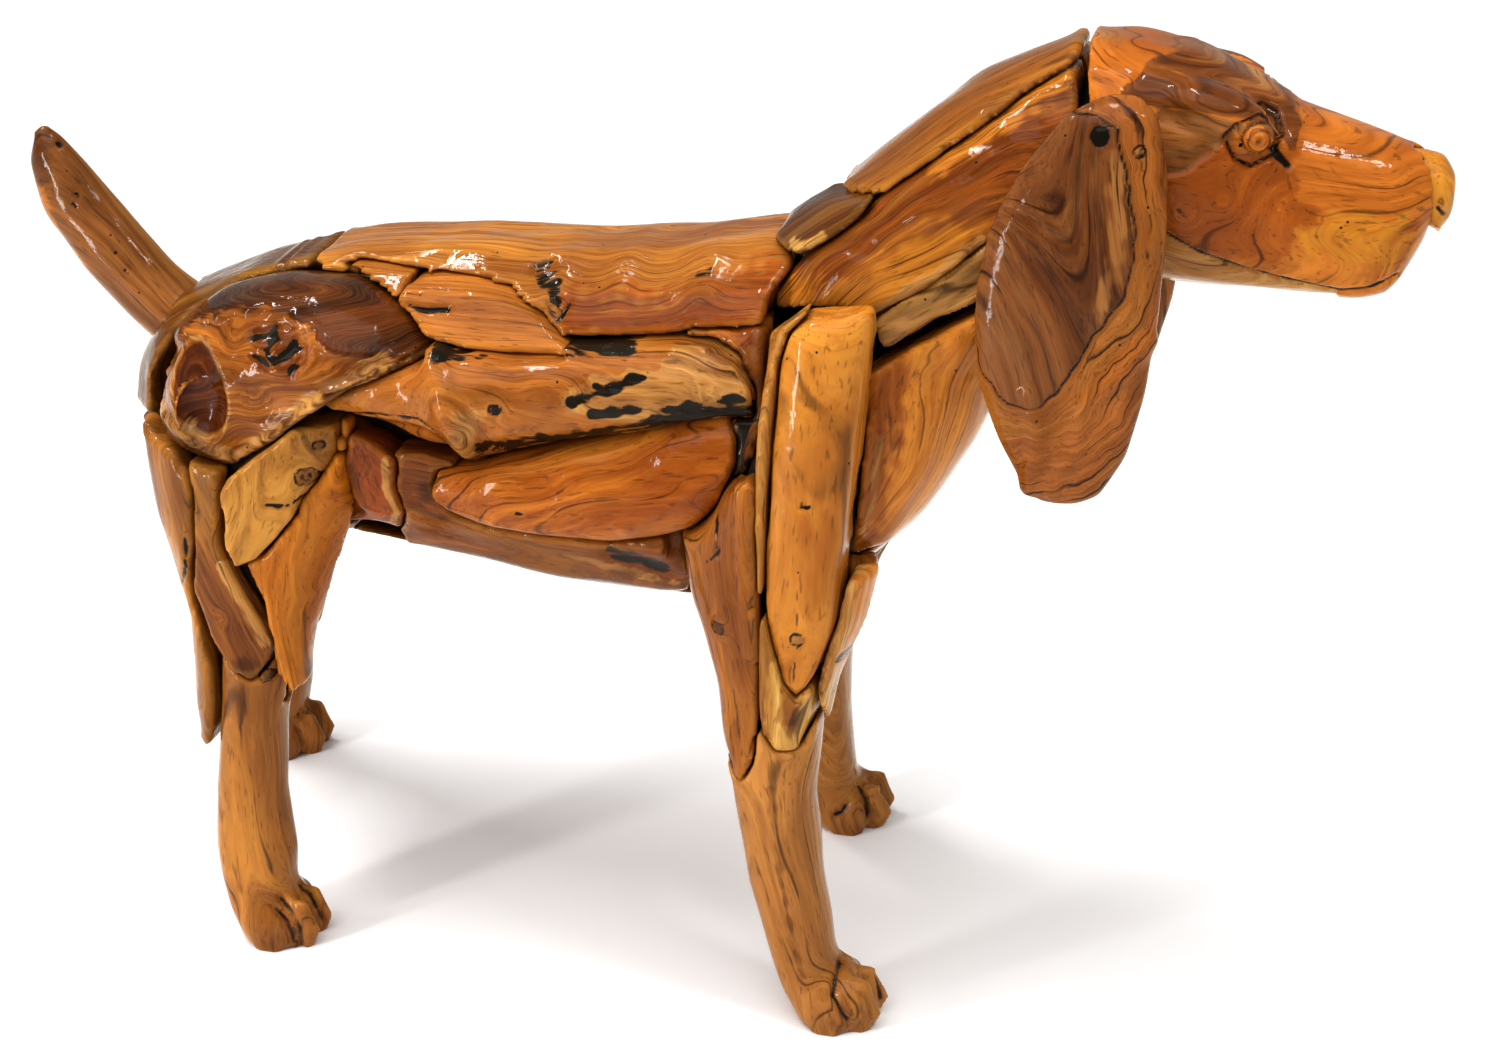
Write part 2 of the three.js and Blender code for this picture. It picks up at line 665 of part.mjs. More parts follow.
const headSpace = loft(skull, { grow: JOINT });
const tailSpace = loft(tail, { grow: SEAT, around: 14 });
const across = [];
function crossing(name, drawn, form, colour, cutters = []) {
  const outline = smoothed(drawn);
  let made = form.intersect(prism(outline, -REACH, REACH)).subtract(bedCore);
  for (const cutter of [...sides, ...across, ...cutters]) made = made.subtract(cutter);
  across.push(prism(widened(outline, JOINT), -REACH, REACH));
  piece(name, made, colour);
}

const bodyForm = loft(torso);
const backForm = raised(3);
const neckOnBody = loft(neck).add(loft(torso));

crossing(
  "back_slab",
  [
    [-322, 700, 1], [-328, 640], [-318, 612, 1], [-270, 606], [-180, 590], [-70, 590], [0, 600],
    [90, 616, 1], [94, 650], [84, 668], [112, 700, 1], [60, 730], [-200, 730],
  ],
  backForm,
  WOOD.orange,
);
crossing(
  "rump_band",
  [
    [-322, 700, 1], [-330, 640], [-322, 590, 1], [-380, 520], [-430, 478, 1], [-560, 478, 1],
    [-560, 620], [-440, 700],
  ],
  bodyForm,
  WOOD.amber,
  [tailSpace, ...legForms],
);
crossing(
  "nape_slab",
  [
    [112, 706, 1], [128, 700], [170, 716], [196, 738], [240, 771], [274, 799], [309, 822, 1],
    [310, 870, 1], [200, 860], [80, 760],
  ],
  neckOnBody,
  WOOD.amber,
);
crossing(
  "throat_slab",
  [[258, 560, 1], [300, 650], [312, 700], [340, 700, 1], [370, 600], [300, 520, 1]],
  neckOnBody,
  WOOD.amber,
  [headSpace],
);
crossing(
  "belly_keel",
  [
    [-300, 371, 1], [-236, 368], [-176, 357], [-107, 346], [-70, 341], [8, 347], [70, 360],
    [140, 400], [170, 418, 1], [200, 380, 1], [80, 280], [-300, 280, 1],
  ],
  bodyForm,
  WOOD.orange,
  legForms,
);
crossing(
  "groin_block",
  [[-480, 470, 1], [-310, 470, 1], [-304, 371], [-304, 300, 1], [-500, 300, 1]],
  bodyForm,
  WOOD.dark,
  legForms,
);

piece("body_core", bodyCore, WOOD.core);
piece("neck_core", neckCore.subtract(headSpace), WOOD.core);
piece("tail", loft(tail, { around: 14 }).subtract(bedCore), WOOD.dark);

// Head: skull and muzzle carved from one block, with brows and eyes, an inset pale nose and two
// hanging ears
const wedge = [
  station(550, 761, 562, 716, 13, 0, 2.2),
  station(566, 760, 575, 702, 23, 0, 2.2),
  station(582, 757, 584, 698, 25, 0, 2.2),
  station(592, 742, 592, 712, 13, 0, 2.2),
];
const nose = loft(wedge);
const noseSpace = loft(wedge, { grow: NOSE_SEAT });

function ear(side, grow = 0) {
  const level = (z, front, rear, width, y) => station(front, z, rear, z, width, side * y, 2.2);
  return loft(
    [
      level(496, 338, 306, 8, 122),
      level(505, 354, 294, 13, 122),
      level(540, 373, 274, 18, 122),
      level(590, 384, 253, 20, 120),
      level(650, 389, 248, 20, 117),
      level(710, 390, 256, 19, 112),
      level(760, 387, 281, 17, 105),
      level(798, 376, 310, 14, 96),
      level(810, 362, 332, 8, 92),
    ],
    { around: 14, grow },
  );
}
const face = [RIGHT, LEFT].reduce((whole, side) => {
  const brow = ball(420, side * 60, 793, 46, 21, 17, { detail: 8, dip: 0.35 });
  const socket = ball(449, side * 84, 777, 24, 17, 15, { detail: 8 });
  const eye = ball(446, side * 69, 779, 13, 10, 12, { detail: 8 });
  const lip = ball(526, side * 29, 672, 38, 25, 25, { detail: 8 });
  const temple = ball(398, side * 112, 758, 44, 27, 20, { detail: 8, dip: 0.25 });
  return whole.add(brow).add(lip).subtract(temple).subtract(socket).add(eye);
}, loft(skull, { around: 14 }));

const earSpaces = [RIGHT, LEFT].map((side) => ear(side, SEAT));
const skullPiece = earSpaces.reduce((made, cut) => made.subtract(cut), face.subtract(noseSpace));
piece("head", skullPiece, WOOD.orange);
piece("nose", nose, WOOD.gold);
piece("ear_right", ear(RIGHT), WOOD.dark);
piece("ear_left", ear(LEFT), WOOD.dark);

const dog = new THREE.Group();
for (const { name, made, colour } of nodes) {
  const mesh = made.getMesh();
  const points = [];
  for (let i = 0; i < mesh.numVert; i++)
    points.push(...mesh.vertProperties.slice(i * mesh.numProp, i * mesh.numProp + 3));
  const geometry = new THREE.BufferGeometry();
  geometry.setAttribute("position", new THREE.Float32BufferAttribute(points, 3));
  geometry.setIndex([...mesh.triVerts]);
  geometry.computeVertexNormals();
  const material = new THREE.MeshStandardMaterial({ color: colour, ...TEAK });
  const shown = new THREE.Mesh(geometry, material);
  shown.name = name;
  dog.add(shown);
}

// The origin is on the floor under the middle of the dog
const extent = new THREE.Box3().setFromObject(dog);
const middle = extent.getCenter(new THREE.Vector3());
dog.position.set(-middle.x, -middle.y, -extent.min.z);

export default dog;
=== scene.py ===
from math import pi, radians

import bmesh
import bpy
import numpy as np
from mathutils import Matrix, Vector


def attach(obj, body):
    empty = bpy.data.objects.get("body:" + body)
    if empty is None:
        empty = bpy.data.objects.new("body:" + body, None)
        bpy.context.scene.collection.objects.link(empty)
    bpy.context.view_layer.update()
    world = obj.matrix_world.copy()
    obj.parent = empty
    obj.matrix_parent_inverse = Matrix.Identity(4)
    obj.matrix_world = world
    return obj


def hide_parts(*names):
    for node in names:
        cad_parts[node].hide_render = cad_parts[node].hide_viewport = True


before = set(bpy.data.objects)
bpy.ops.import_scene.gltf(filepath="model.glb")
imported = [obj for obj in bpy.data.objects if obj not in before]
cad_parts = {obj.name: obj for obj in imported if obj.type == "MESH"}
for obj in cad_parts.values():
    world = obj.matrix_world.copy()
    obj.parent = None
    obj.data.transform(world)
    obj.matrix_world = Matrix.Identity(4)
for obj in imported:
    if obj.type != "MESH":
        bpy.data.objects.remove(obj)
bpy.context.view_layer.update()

# The photographer's view
# The dog stands on white paper in front of the camera, which looks down on its right side from
# a little ahead of the shoulder.
camera_data = bpy.data.cameras.new("photo_camera")
camera_data.sensor_width = 36
camera_data.lens = 59
camera_data.clip_end = 40
camera = bpy.data.objects.new("photo_camera", camera_data)
camera.location = (0.5092, -1.8733, 1.28)
camera.rotation_euler = (radians(65), 0, radians(14))
bpy.context.collection.objects.link(camera)
bpy.context.scene.camera = camera
bpy.context.scene.view_settings.view_transform = "Standard"
bpy.context.scene.view_settings.gamma = 0.88
bpy.context.scene.view_settings.exposure = 0.16

# White paper
# A plain matt floor, wide enough to run out of the picture all round.
paper_shape = bmesh.new()
bmesh.ops.create_grid(paper_shape, x_segments=2, y_segments=2, size=9)
paper_mesh = bpy.data.meshes.new("paper")
paper_shape.to_mesh(paper_mesh)
paper_shape.free()
paper = bpy.data.objects.new("paper", paper_mesh)
bpy.context.collection.objects.link(paper)
paper_finish = bpy.data.materials.new("matt_paper")
paper_finish.use_nodes = True
paper_shader = paper_finish.node_tree.nodes["Principled BSDF"]
paper_shader.inputs["Base Color"].default_value = (0.94, 0.94, 0.94, 1)
paper_shader.inputs["Roughness"].default_value = 0.95
paper_shader.inputs["Specular IOR Level"].default_value = 0.1
paper_mesh.materials.append(paper_finish)

# Studio light
# A high diffuse ceiling and four narrow soft boxes in a pale room: two overhead, one at the
# left and a small one by the head. They draw the streaks of light on the lacquer.
room = bpy.data.worlds.new("studio")
room.use_nodes = True
room.node_tree.nodes["Background"].inputs["Color"].default_value = (1, 1, 1, 1)
room.node_tree.nodes["Background"].inputs["Strength"].default_value = 0.40
bpy.context.scene.world = room

ceiling_light = bpy.data.lights.new("ceiling", "SUN")
ceiling_light.energy = 1.9
ceiling_light.angle = radians(62)
ceiling = bpy.data.objects.new("ceiling", ceiling_light)
ceiling.rotation_euler = (radians(22), radians(-6), 0)
bpy.context.collection.objects.link(ceiling)


def soft_box(name, place, aim, width, depth, power):
    light = bpy.data.lights.new(name, "AREA")
    light.shape = "RECTANGLE"
    light.size = width
    light.size_y = depth
    light.energy = power
    lamp = bpy.data.objects.new(name, light)
    lamp.location = place
    toward = Vector(aim) - Vector(place)
    lamp.rotation_euler = toward.to_track_quat("-Z", "Y").to_euler()
    bpy.context.collection.objects.link(lamp)


soft_box("back_box", (-1.25, 0.22, 2.4), (-0.2, 0, 0.6), 0.8, 0.11, 22)
soft_box("neck_box", (0.1, -0.05, 2.4), (0.2, 0, 0.7), 0.4, 0.09, 6)
soft_box("left_box", (-1.5, -1.5, 0.64), (-0.1, 0, 0.5), 0.16, 1.1, 22)
soft_box("head_box", (1.3, -0.6, 2.2), (0.4, 0, 0.7), 0.3, 0.16, 8)

# Dark inner wood
# The block that the slabs are screwed and glued to: rough teak, stained almost black, seen
# only down the open joints.


def copy_of(node, voxel):
    """A new piece in the place of a CAD node: its mesh, merged and remade in even small faces."""
    shape = bmesh.new()
    shape.from_mesh(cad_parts[node].data)
    bmesh.ops.remove_doubles(shape, verts=shape.verts, dist=0.00002)
    mesh = bpy.data.meshes.new(node + "_wood")
    shape.to_mesh(mesh)
    shape.free()
    piece = bpy.data.objects.new(node + "_wood", mesh)
    bpy.context.collection.objects.link(piece)
    even = piece.modifiers.new("even_faces", "REMESH")
    even.mode = "VOXEL"
    even.voxel_size = voxel
    even.use_smooth_shade = True
    finished = piece.evaluated_get(bpy.context.evaluated_depsgraph_get())
    remade = bpy.data.meshes.new_from_object(finished)
    piece.modifiers.clear()
    piece.data = remade
    bpy.data.meshes.remove(mesh)
    remade.name = node + "_wood"
    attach(piece, "root")
    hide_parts(node)
    return piece


def link(tree, source, socket):
    tree.links.new(source, socket)


def maths(tree, operation, a, b=None):
    node = tree.nodes.new("ShaderNodeMath")
    node.operation = operation
    for socket, value in zip(node.inputs, (a, b)):
        if value is None:
            continue
        if isinstance(value, (int, float)):
            socket.default_value = value
        else:
            link(tree, value, socket)
    return node.outputs[0]


def stretched(tree, where, scales):
    node = tree.nodes.new("ShaderNodeVectorMath")
    node.operation = "MULTIPLY"
    link(tree, where, node.inputs[0])
    node.inputs[1].default_value = scales
    return node.outputs["Vector"]


def noise(tree, where, scale=1.0, detail=3.0, roughness=0.55):
    node = tree.nodes.new("ShaderNodeTexNoise")
    link(tree, where, node.inputs["Vector"])
    node.inputs["Scale"].default_value = scale
    node.inputs["Detail"].default_value = detail
    node.inputs["Roughness"].default_value = roughness
    return node.outputs["Fac"]


def between(tree, value, low, high, to_low=0.0, to_high=1.0):
    node = tree.nodes.new("ShaderNodeMapRange")
    node.interpolation_type = "SMOOTHSTEP"
    link(tree, value, node.inputs["Value"])
    node.inputs["From Min"].default_value = low
    node.inputs["From Max"].default_value = high
    node.inputs["To Min"].default_value = to_low
    node.inputs["To Max"].default_value = to_high
    return node.outputs["Result"]


def blend(tree, share, first, second):
    node = tree.nodes.new("ShaderNodeMix")
    node.data_type = "RGBA"
    link(tree, share, node.inputs["Factor"])
    for name, value in (("A", first), ("B", second)):
        socket = next(s for s in node.inputs if s.name == name and s.type == "RGBA")
        if isinstance(value, tuple):
            socket.default_value = (*value, 1)
        else:
            link(tree, value, socket)
    return next(s for s in node.outputs if s.type == "RGBA")


def bumped(tree, height, distance, strength):
    node = tree.nodes.new("ShaderNodeBump")
    node.inputs["Strength"].default_value = strength
    node.inputs["Distance"].default_value = distance
    link(tree, height, node.inputs["Height"])
    return node.outputs["Normal"]


inner_finish = bpy.data.materials.new("inner_wood_stained")
inner_finish.use_nodes = True
inner_tree = inner_finish.node_tree
inner_shader = inner_tree.nodes["Principled BSDF"]
inner_place = inner_tree.nodes.new("ShaderNodeTexCoord").outputs["Object"]
inner_stain = between(inner_tree, noise(inner_tree, inner_place, 22), 0.4, 0.7)
inner_tone = blend(inner_tree, inner_stain, (0.004, 0.003, 0.002), (0.020, 0.010, 0.005))
inner_fibres = noise(inner_tree, stretched(inner_tree, inner_place, (40, 160, 160)), 1, 4)
link(inner_tree, inner_tone, inner_shader.inputs["Base Color"])
link(inner_tree, bumped(inner_tree, inner_fibres, 0.002, 0.8), inner_shader.inputs["Normal"])
inner_shader.inputs["Roughness"].default_value = 0.7
inner_shader.inputs["Specular IOR Level"].default_value = 0.1
INNER_FACES = 0.007  # size of the small faces of the inner wood, in metres
for node in (
    "body_core",
    "neck_core",
    "foreleg_core_right",
    "foreleg_core_left",
    "thigh_core_right",
    "thigh_core_left",
):
    core = copy_of(node, INNER_FACES)
    core.data.materials.append(inner_finish)

# Feet
# Each lower leg and its paw are carved from one stick of teak, orange-brown with dark lines
# that flow down it, and sanded smooth before the lacquer. The slabs of the leg lap its top.

RIGHT = -1
LEFT = 1
MIDDLE = -20  # y of the plane through the middle of the dog, in millimetres
FAR_OFF = 1e9  # the distance given to vertices that a carving leaves out
PAST_MIDDLE = 30  # how far past that plane the carving of one side reaches, in millimetres
PAW_ASIDE = 158  # y of the middle of the left paws, and of the right ones with a minus
RIPPLE_LENGTH = 62  # of the waves that sanding by hand leaves, in millimetres
FINE_FACES = 0.0024  # size of the small faces of carved feet and ears, in metres
INK = (0.030, 0.009, 0.004)
BLACK = (0.006, 0.004, 0.003)
CHARRED_AND_SHADE = (0.011, 0.007, 0.005)
GOLDEN = (0.72, 0.36, 0.070)
PALE_LIGHT = (0.54, 0.280, 0.105)
BROWN_LIGHT = (0.19, 0.064, 0.020)
BROWN_DARK = (0.06, 0.018, 0.006)


def points_of(piece):
    """The vertices in millimetres."""
    points = np.empty(len(piece.data.vertices) * 3, np.float32)
    piece.data.vertices.foreach_get("co", points)
    return 1000 * points.reshape(-1, 3).astype(float)


def normals_of(piece):
    normals = np.empty(len(piece.data.vertices) * 3, np.float32)
    piece.data.vertex_normals.foreach_get("vector", normals)
    return normals.reshape(-1, 3).astype(float)


def place(piece, points):
    piece.data.vertices.foreach_set("co", (points / 1000).astype(np.float32).ravel())
    piece.data.update()


def spread(piece, values, rounds, share=1.0):
    """Values on the vertices, averaged with their neighbours' again and again."""
    pairs = np.empty(len(piece.data.edges) * 2, np.int32)
    piece.data.edges.foreach_get("vertices", pairs)
    a, b = pairs.reshape(-1, 2).T
    count = len(values)
    ways = np.bincount(a, minlength=count) + np.bincount(b, minlength=count)
    values = values.copy()
    for _ in range(rounds):
        for i in range(values.shape[1]):
            column = values[:, i]
            total = np.bincount(a, column[b], count) + np.bincount(b, column[a], count)
            values[:, i] = column + 0.5 * share * (total / ways - column)
    return values


def paint(piece, name, amount):
    """More of a tint or a cut on the vertices, kept on the mesh for the finish to read."""
    store = piece.data.attributes.get(name)
    before = np.zeros(len(amount), np.float32)
    if store is None:
        store = piece.data.attributes.new(name, "FLOAT", "POINT")
    else:
        store.data.foreach_get("value", before)
    store.data.foreach_set("value", np.maximum(before, amount).astype(np.float32))


def waves(points, length, seed):
    """Smooth unevenness from -1 to 1 with this wavelength."""
    chance = np.random.default_rng(seed)
    total = np.zeros(len(points))
    for _ in range(7):
        way = chance.normal(size=3)
        way *= 2 * pi / length / np.linalg.norm(way) * chance.uniform(0.7, 1.4)
        total += np.sin(points @ way + chance.uniform(0, 2 * pi))
    return total / 4


def sanded(node, voxel=0.0031, soften=3, fair=60, swell=1.4, ripple=0.8, seed=1):
    """A slab with its edges rounded and the faces between them made fair, but still uneven, as
    a root is that has been sanded by hand. Lengths are in millimetres, but for the voxel."""
    piece = copy_of(node, voxel)
    place(piece, spread(piece, points_of(piece), soften))
    mean = spread(piece, normals_of(piece), 12)
    flatness = np.clip((np.linalg.norm(mean, axis=1) - 0.90) / 0.07, 0, 1)
    place(piece, spread(piece, points_of(piece), fair, flatness))
    points = points_of(piece)
    uneven = ripple * waves(points, RIPPLE_LENGTH, seed)
    place(piece, points + (swell + uneven)[:, None] * normals_of(piece))
    # The rounded edges, which the finish paints lighter as a painted highlight
    paint(piece, "edge", spread(piece, 1 - flatness[:, None], 3)[:, 0])
    return piece


def reach(piece, path, closed=False, side=RIGHT, wobble=0.0):
    """Distance of the vertices from a line through points in millimetres: [x, z] as drawn in
    the side view, or [x, y, z]. It is less than 0 inside a closed line. Vertices that face away
    from that side of the dog, or lie well past its middle, are far off."""
    points = points_of(piece)
    uneven = wobble * waves(points, 16, 5) if wobble else 0
    drawn = np.array(path, float)
    flat = drawn.shape[1] == 2
    at = points[:, [0, 2]] if flat else points
    if closed:
        drawn = np.vstack((drawn, drawn[:1]))
    if len(drawn) == 1:
        drawn = np.vstack((drawn, drawn))
    distance = np.full(len(at), FAR_OFF)
    inside = np.zeros(len(at), bool)
    for a, b in zip(drawn, drawn[1:]):
        run = b - a
        along = np.clip((at - a) @ run / max(run @ run, 1e-9), 0, 1)
        distance = np.minimum(distance, np.linalg.norm(at - a - along[:, None] * run, axis=1))
        if closed:
            spans = (a[1] > at[:, 1]) != (b[1] > at[:, 1])
            rise = run[1] if run[1] else 1e-9
            inside ^= spans & (at[:, 0] < a[0] + (at[:, 1] - a[1]) * run[0] / rise)
    distance = np.where(inside, -distance, distance) + uneven
    if flat:
        turned = normals_of(piece)[:, 1] * side < -0.1
        beyond = (points[:, 1] - MIDDLE) * side < -PAST_MIDDLE
        distance = np.where(turned | beyond, FAR_OFF, distance)
    return distance


def bell(distance, width):
    """1 at no distance, or less, and 0 at this width."""
    fade = np.clip(1 - distance / width, 0, 1)
    return fade * fade * (3 - 2 * fade)


def carve(piece, amount, height):
    """Moves the surface out by height, or in where it is less than 0."""
    place(piece, points_of(piece) + (height * amount)[:, None] * normals_of(piece))


def fissure(piece, path, width=4.0, depth=3.0, side=RIGHT, share=1.0, wobble=1.0):
    """An open crack along a line, dark at the bottom."""
    distance = reach(piece, path, side=side, wobble=wobble)
    carve(piece, bell(distance, width), -depth)
    paint(piece, "cut", share * bell(distance, 0.7 * width))


def plug(piece, x, z, radius, tint, side=RIGHT):
    """A round plug over a screw, or a knot, with a fine dark seam round it."""
    distance = reach(piece, [[x, z]], side=side)
    ring = bell(abs(distance - radius), 2.4)
    carve(piece, ring, -0.7)
    paint(piece, "cut", 0.75 * ring)
    paint(piece, tint, bell(distance - 0.8 * radius, 2))


def grow(piece, finish, run, heart=None, knots=(), wander=7.0, seed=1, side=RIGHT):
    """Gives a piece its finish, and marks where each vertex lies in the root that it was cut
    from: along it, out from its heart, and across it. run is the way that the grain goes, heart
    a point of the root's middle, and knots are (x, z, radius), which the grain swings round."""
    points = points_of(piece)
    centre = (points.min(axis=0) + points.max(axis=0)) / 2
    if heart is None:
        heart = centre + np.array((0, -28 * side, 18))
    run = np.array(run, float) / np.linalg.norm(run)
    across = np.cross(run, (0, 1, 0))
    away = points - np.array(heart, float)
    along = away @ run
    slow = away - 0.72 * along[:, None] * run
    layer = np.linalg.norm(away - along[:, None] * run, axis=1)
    layer += wander * waves(slow, 95, seed) + 0.35 * wander * waves(slow, 34, seed + 1)
    for x, z, radius in knots:
        off = np.hypot(points[:, 0] - x, points[:, 2] - z) / radius
        layer += 0.9 * radius * np.exp(-off * off)
    rooted = np.column_stack((along + 370 * seed, layer, away @ across)) / 1000
    store = piece.data.attributes.new("grain", "FLOAT_VECTOR", "POINT")
    store.data.foreach_set("vector", rooted.astype(np.float32).ravel())
    piece.data.materials.append(finish)


def lacquered_teak(
    name, light, dark, tints=(), lines=0.75, holes=0.22, rough=0.0, gloss=0.09, golden=0.20
):
    """Teak root under thick clear gloss. light and dark are the tones of its figure; tints are
    (painted name, light, dark); lines is the strength of the dark lines, holes the share of
    worm holes, rough how far the grain stands up, golden the strength of the light patches."""
    made = bpy.data.materials.new(name)
    made.use_nodes = True
    tree = made.node_tree
    shader = tree.nodes["Principled BSDF"]
    here = tree.nodes.new("ShaderNodeTexCoord").outputs["Object"]

    def painted(attribute):
        node = tree.nodes.new("ShaderNodeAttribute")
        node.attribute_name = attribute
        return node

    grain = painted("grain").outputs["Vector"]
    broad = noise(tree, stretched(tree, grain, (4, 42, 9)), 1, 3)
    streaks = noise(tree, stretched(tree, grain, (9, 260, 45)), 1, 4, 0.6)
    fibres = noise(tree, stretched(tree, grain, (22, 1500, 300)), 1, 2)
    pores = noise(tree, stretched(tree, grain, (45, 620, 330)), 1, 1)
    layers = noise(tree, stretched(tree, grain, (2.6, 52, 6)), 1, 2, 0.45)
    places = noise(tree, here, 16, 2)
    rags = noise(tree, stretched(tree, grain, (16, 210, 170)), 1, 4)
    mottle = between(tree, noise(tree, here, 7.5, 3), 0.42, 0.66, 0, 0.42)

    # The figure, in two tones, and the tints that are painted on it in patches
    tone = maths(tree, "MULTIPLY", streaks, 0.5)
    tone = maths(tree, "ADD", maths(tree, "MULTIPLY", broad, 0.5), tone)
    tone = between(tree, tone, 0.38, 0.62)
    figure = blend(tree, tone, dark, light)
    figure = blend(tree, mottle, figure, dark)
    glow = noise(tree, stretched(tree, grain, (3.2, 34, 7)), 1, 2)
    glow = maths(tree, "MULTIPLY", between(tree, glow, 0.50, 0.70), golden)
    figure = blend(tree, glow, figure, GOLDEN)
    fuzz = maths(tree, "MULTIPLY", between(tree, fibres, 0.4, 0.75), 0.10)
    figure = blend(tree, fuzz, figure, PALE_LIGHT)
    fringe = maths(tree, "MULTIPLY", rags, 0.8)
    fringe = maths(tree, "ADD", maths(tree, "MULTIPLY", streaks, 1.5), fringe)
    fringe = maths(tree, "SUBTRACT", fringe, 1.15)
    for attribute, tint_light, tint_dark in tints:
        share = maths(tree, "ADD", painted(attribute).outputs["Fac"], fringe)
        share = between(tree, share, 0.22, 0.72)
        figure = blend(tree, share, figure, blend(tree, tone, tint_dark, tint_light))

    # Fine dark lines on the growth layers, pores and fibres
    parts = tree.nodes.new("ShaderNodeSeparateXYZ")
    link(tree, grain, parts.inputs["Vector"])
    phase = maths(tree, "MULTIPLY", parts.outputs["Y"], 85)
    phase = maths(tree, "ADD", maths(tree, "MULTIPLY", layers, 2.4), phase)
    turn = maths(tree, "FRACT", phase)
    off_line = maths(tree, "ABSOLUTE", maths(tree, "SUBTRACT", turn, 0.5))
    off_line = maths(tree, "MULTIPLY", off_line, between(tree, places, 0.35, 0.62, 2.6, 0.8))
    off_line = maths(tree, "ADD", off_line, maths(tree, "MULTIPLY", fibres, 0.05))
    sharp = between(tree, off_line, 0.03, 0.10, 1, 0)
    soft = between(tree, turn, 0.5, 1.0, 0.36, 0)
    where = between(tree, places, 0.38, 0.58, 0.15, 1)
    drawn = maths(tree, "MULTIPLY", maths(tree, "MULTIPLY", sharp, where), lines)
    hair = maths(tree, "FRACT", maths(tree, "MULTIPLY", phase, 4.3))
    hair = between(tree, maths(tree, "ABSOLUTE", maths(tree, "SUBTRACT", hair, 0.5)), 0.04, 0.2, 0.3, 0)
    figure = blend(tree, maths(tree, "MULTIPLY", soft, lines), figure, dark)
    figure = blend(tree, maths(tree, "MULTIPLY", hair, lines), figure, dark)
    figure = blend(tree, drawn, figure, INK)
    figure = blend(tree, maths(tree, "MULTIPLY", between(tree, pores, 0.60, 0.72), 0.42), figure, INK)

    # Worm holes
    cells = tree.nodes.new("ShaderNodeTexVoronoi")
    cells.inputs["Scale"].default_value = 62
    link(tree, here, cells.inputs["Vector"])
    length = tree.nodes.new("ShaderNodeVectorMath")
    length.operation = "LENGTH"
    link(tree, cells.outputs["Color"], length.inputs[0])
    chosen = maths(tree, "FRACT", maths(tree, "MULTIPLY", length.outputs["Value"], 7.3))
    chosen = maths(tree, "LESS_THAN", chosen, holes)
    dots = maths(tree, "MULTIPLY", between(tree, cells.outputs["Distance"], 0.04, 0.085, 1, 0), chosen)
    figure = blend(tree, dots, figure, BLACK)

    # Lighter on the rounded edges, a painted highlight; charred in the scorched places and black in a band
    # of painted shade; black in the cuts
    rim_highlight = maths(tree, "ADD", painted("edge").outputs["Fac"], maths(tree, "MULTIPLY", streaks, 0.5))
    figure = blend(tree, maths(tree, "MULTIPLY", between(tree, rim_highlight, 0.9, 1.3), 0.09), figure, GOLDEN)
    streaked = maths(tree, "ADD", maths(tree, "MULTIPLY", fringe, 2.2), 1.0)
    scorch_and_shade = maths(tree, "MULTIPLY", painted("burnt_and_shade").outputs["Fac"], streaked)
    figure = blend(tree, between(tree, scorch_and_shade, 0.38, 0.75), figure, CHARRED_AND_SHADE)
    opened = maths(tree, "ADD", painted("cut").outputs["Fac"], maths(tree, "MULTIPLY", fringe, 0.25))
    opened = between(tree, opened, 0.2, 0.7)
    figure = blend(tree, opened, figure, BLACK)
    link(tree, figure, shader.inputs["Base Color"])

    # Under the lacquer the grain stands up a little; the lacquer itself is wavy
    height = maths(tree, "MULTIPLY", broad, 0.6)
    height = maths(tree, "ADD", maths(tree, "MULTIPLY", streaks, 0.7), height)
    height = maths(tree, "SUBTRACT", height, maths(tree, "MULTIPLY", drawn, 0.15))
    height = maths(tree, "SUBTRACT", height, maths(tree, "MULTIPLY", dots, 1.0))
    if rough:
        raised = between(tree, painted("pale").outputs["Fac"], 0.2, 0.8, 0, rough)
        height = maths(tree, "ADD", height, maths(tree, "MULTIPLY", streaks, raised))
    wood = bumped(tree, height, 0.0014, 0.45)
    skin = maths(tree, "MULTIPLY", noise(tree, here, 260, 1), 0.10)
    skin = maths(tree, "ADD", noise(tree, here, 38, 2), skin)
    skin = maths(tree, "ADD", skin, maths(tree, "MULTIPLY", height, 0.30))
    film = bumped(tree, skin, 0.0024, 0.52)
    link(tree, wood, shader.inputs["Normal"])
    link(tree, film, shader.inputs["Coat Normal"])
    shader.inputs["Roughness"].default_value = 0.38
    shader.inputs["Specular IOR Level"].default_value = 0.02
    shader.inputs["Coat Weight"].default_value = 1
    shader.inputs["Coat Roughness"].default_value = gloss
    shader.inputs["Coat IOR"].default_value = 1.22
    shader.inputs["Coat Tint"].default_value = (0.99, 0.95, 0.70, 1)
    return made


fore_foot_finish = lacquered_teak(
    "fore_foot_teak",
    (0.54, 0.245, 0.080),
    (0.28, 0.110, 0.032),
    [("brown", BROWN_LIGHT, BROWN_DARK)],
)
hind_foot_finish = lacquered_teak(
    "hind_foot_teak",
    (0.42, 0.170, 0.045),
    (0.21, 0.075, 0.018),
    [("brown", BROWN_LIGHT, BROWN_DARK)],
)
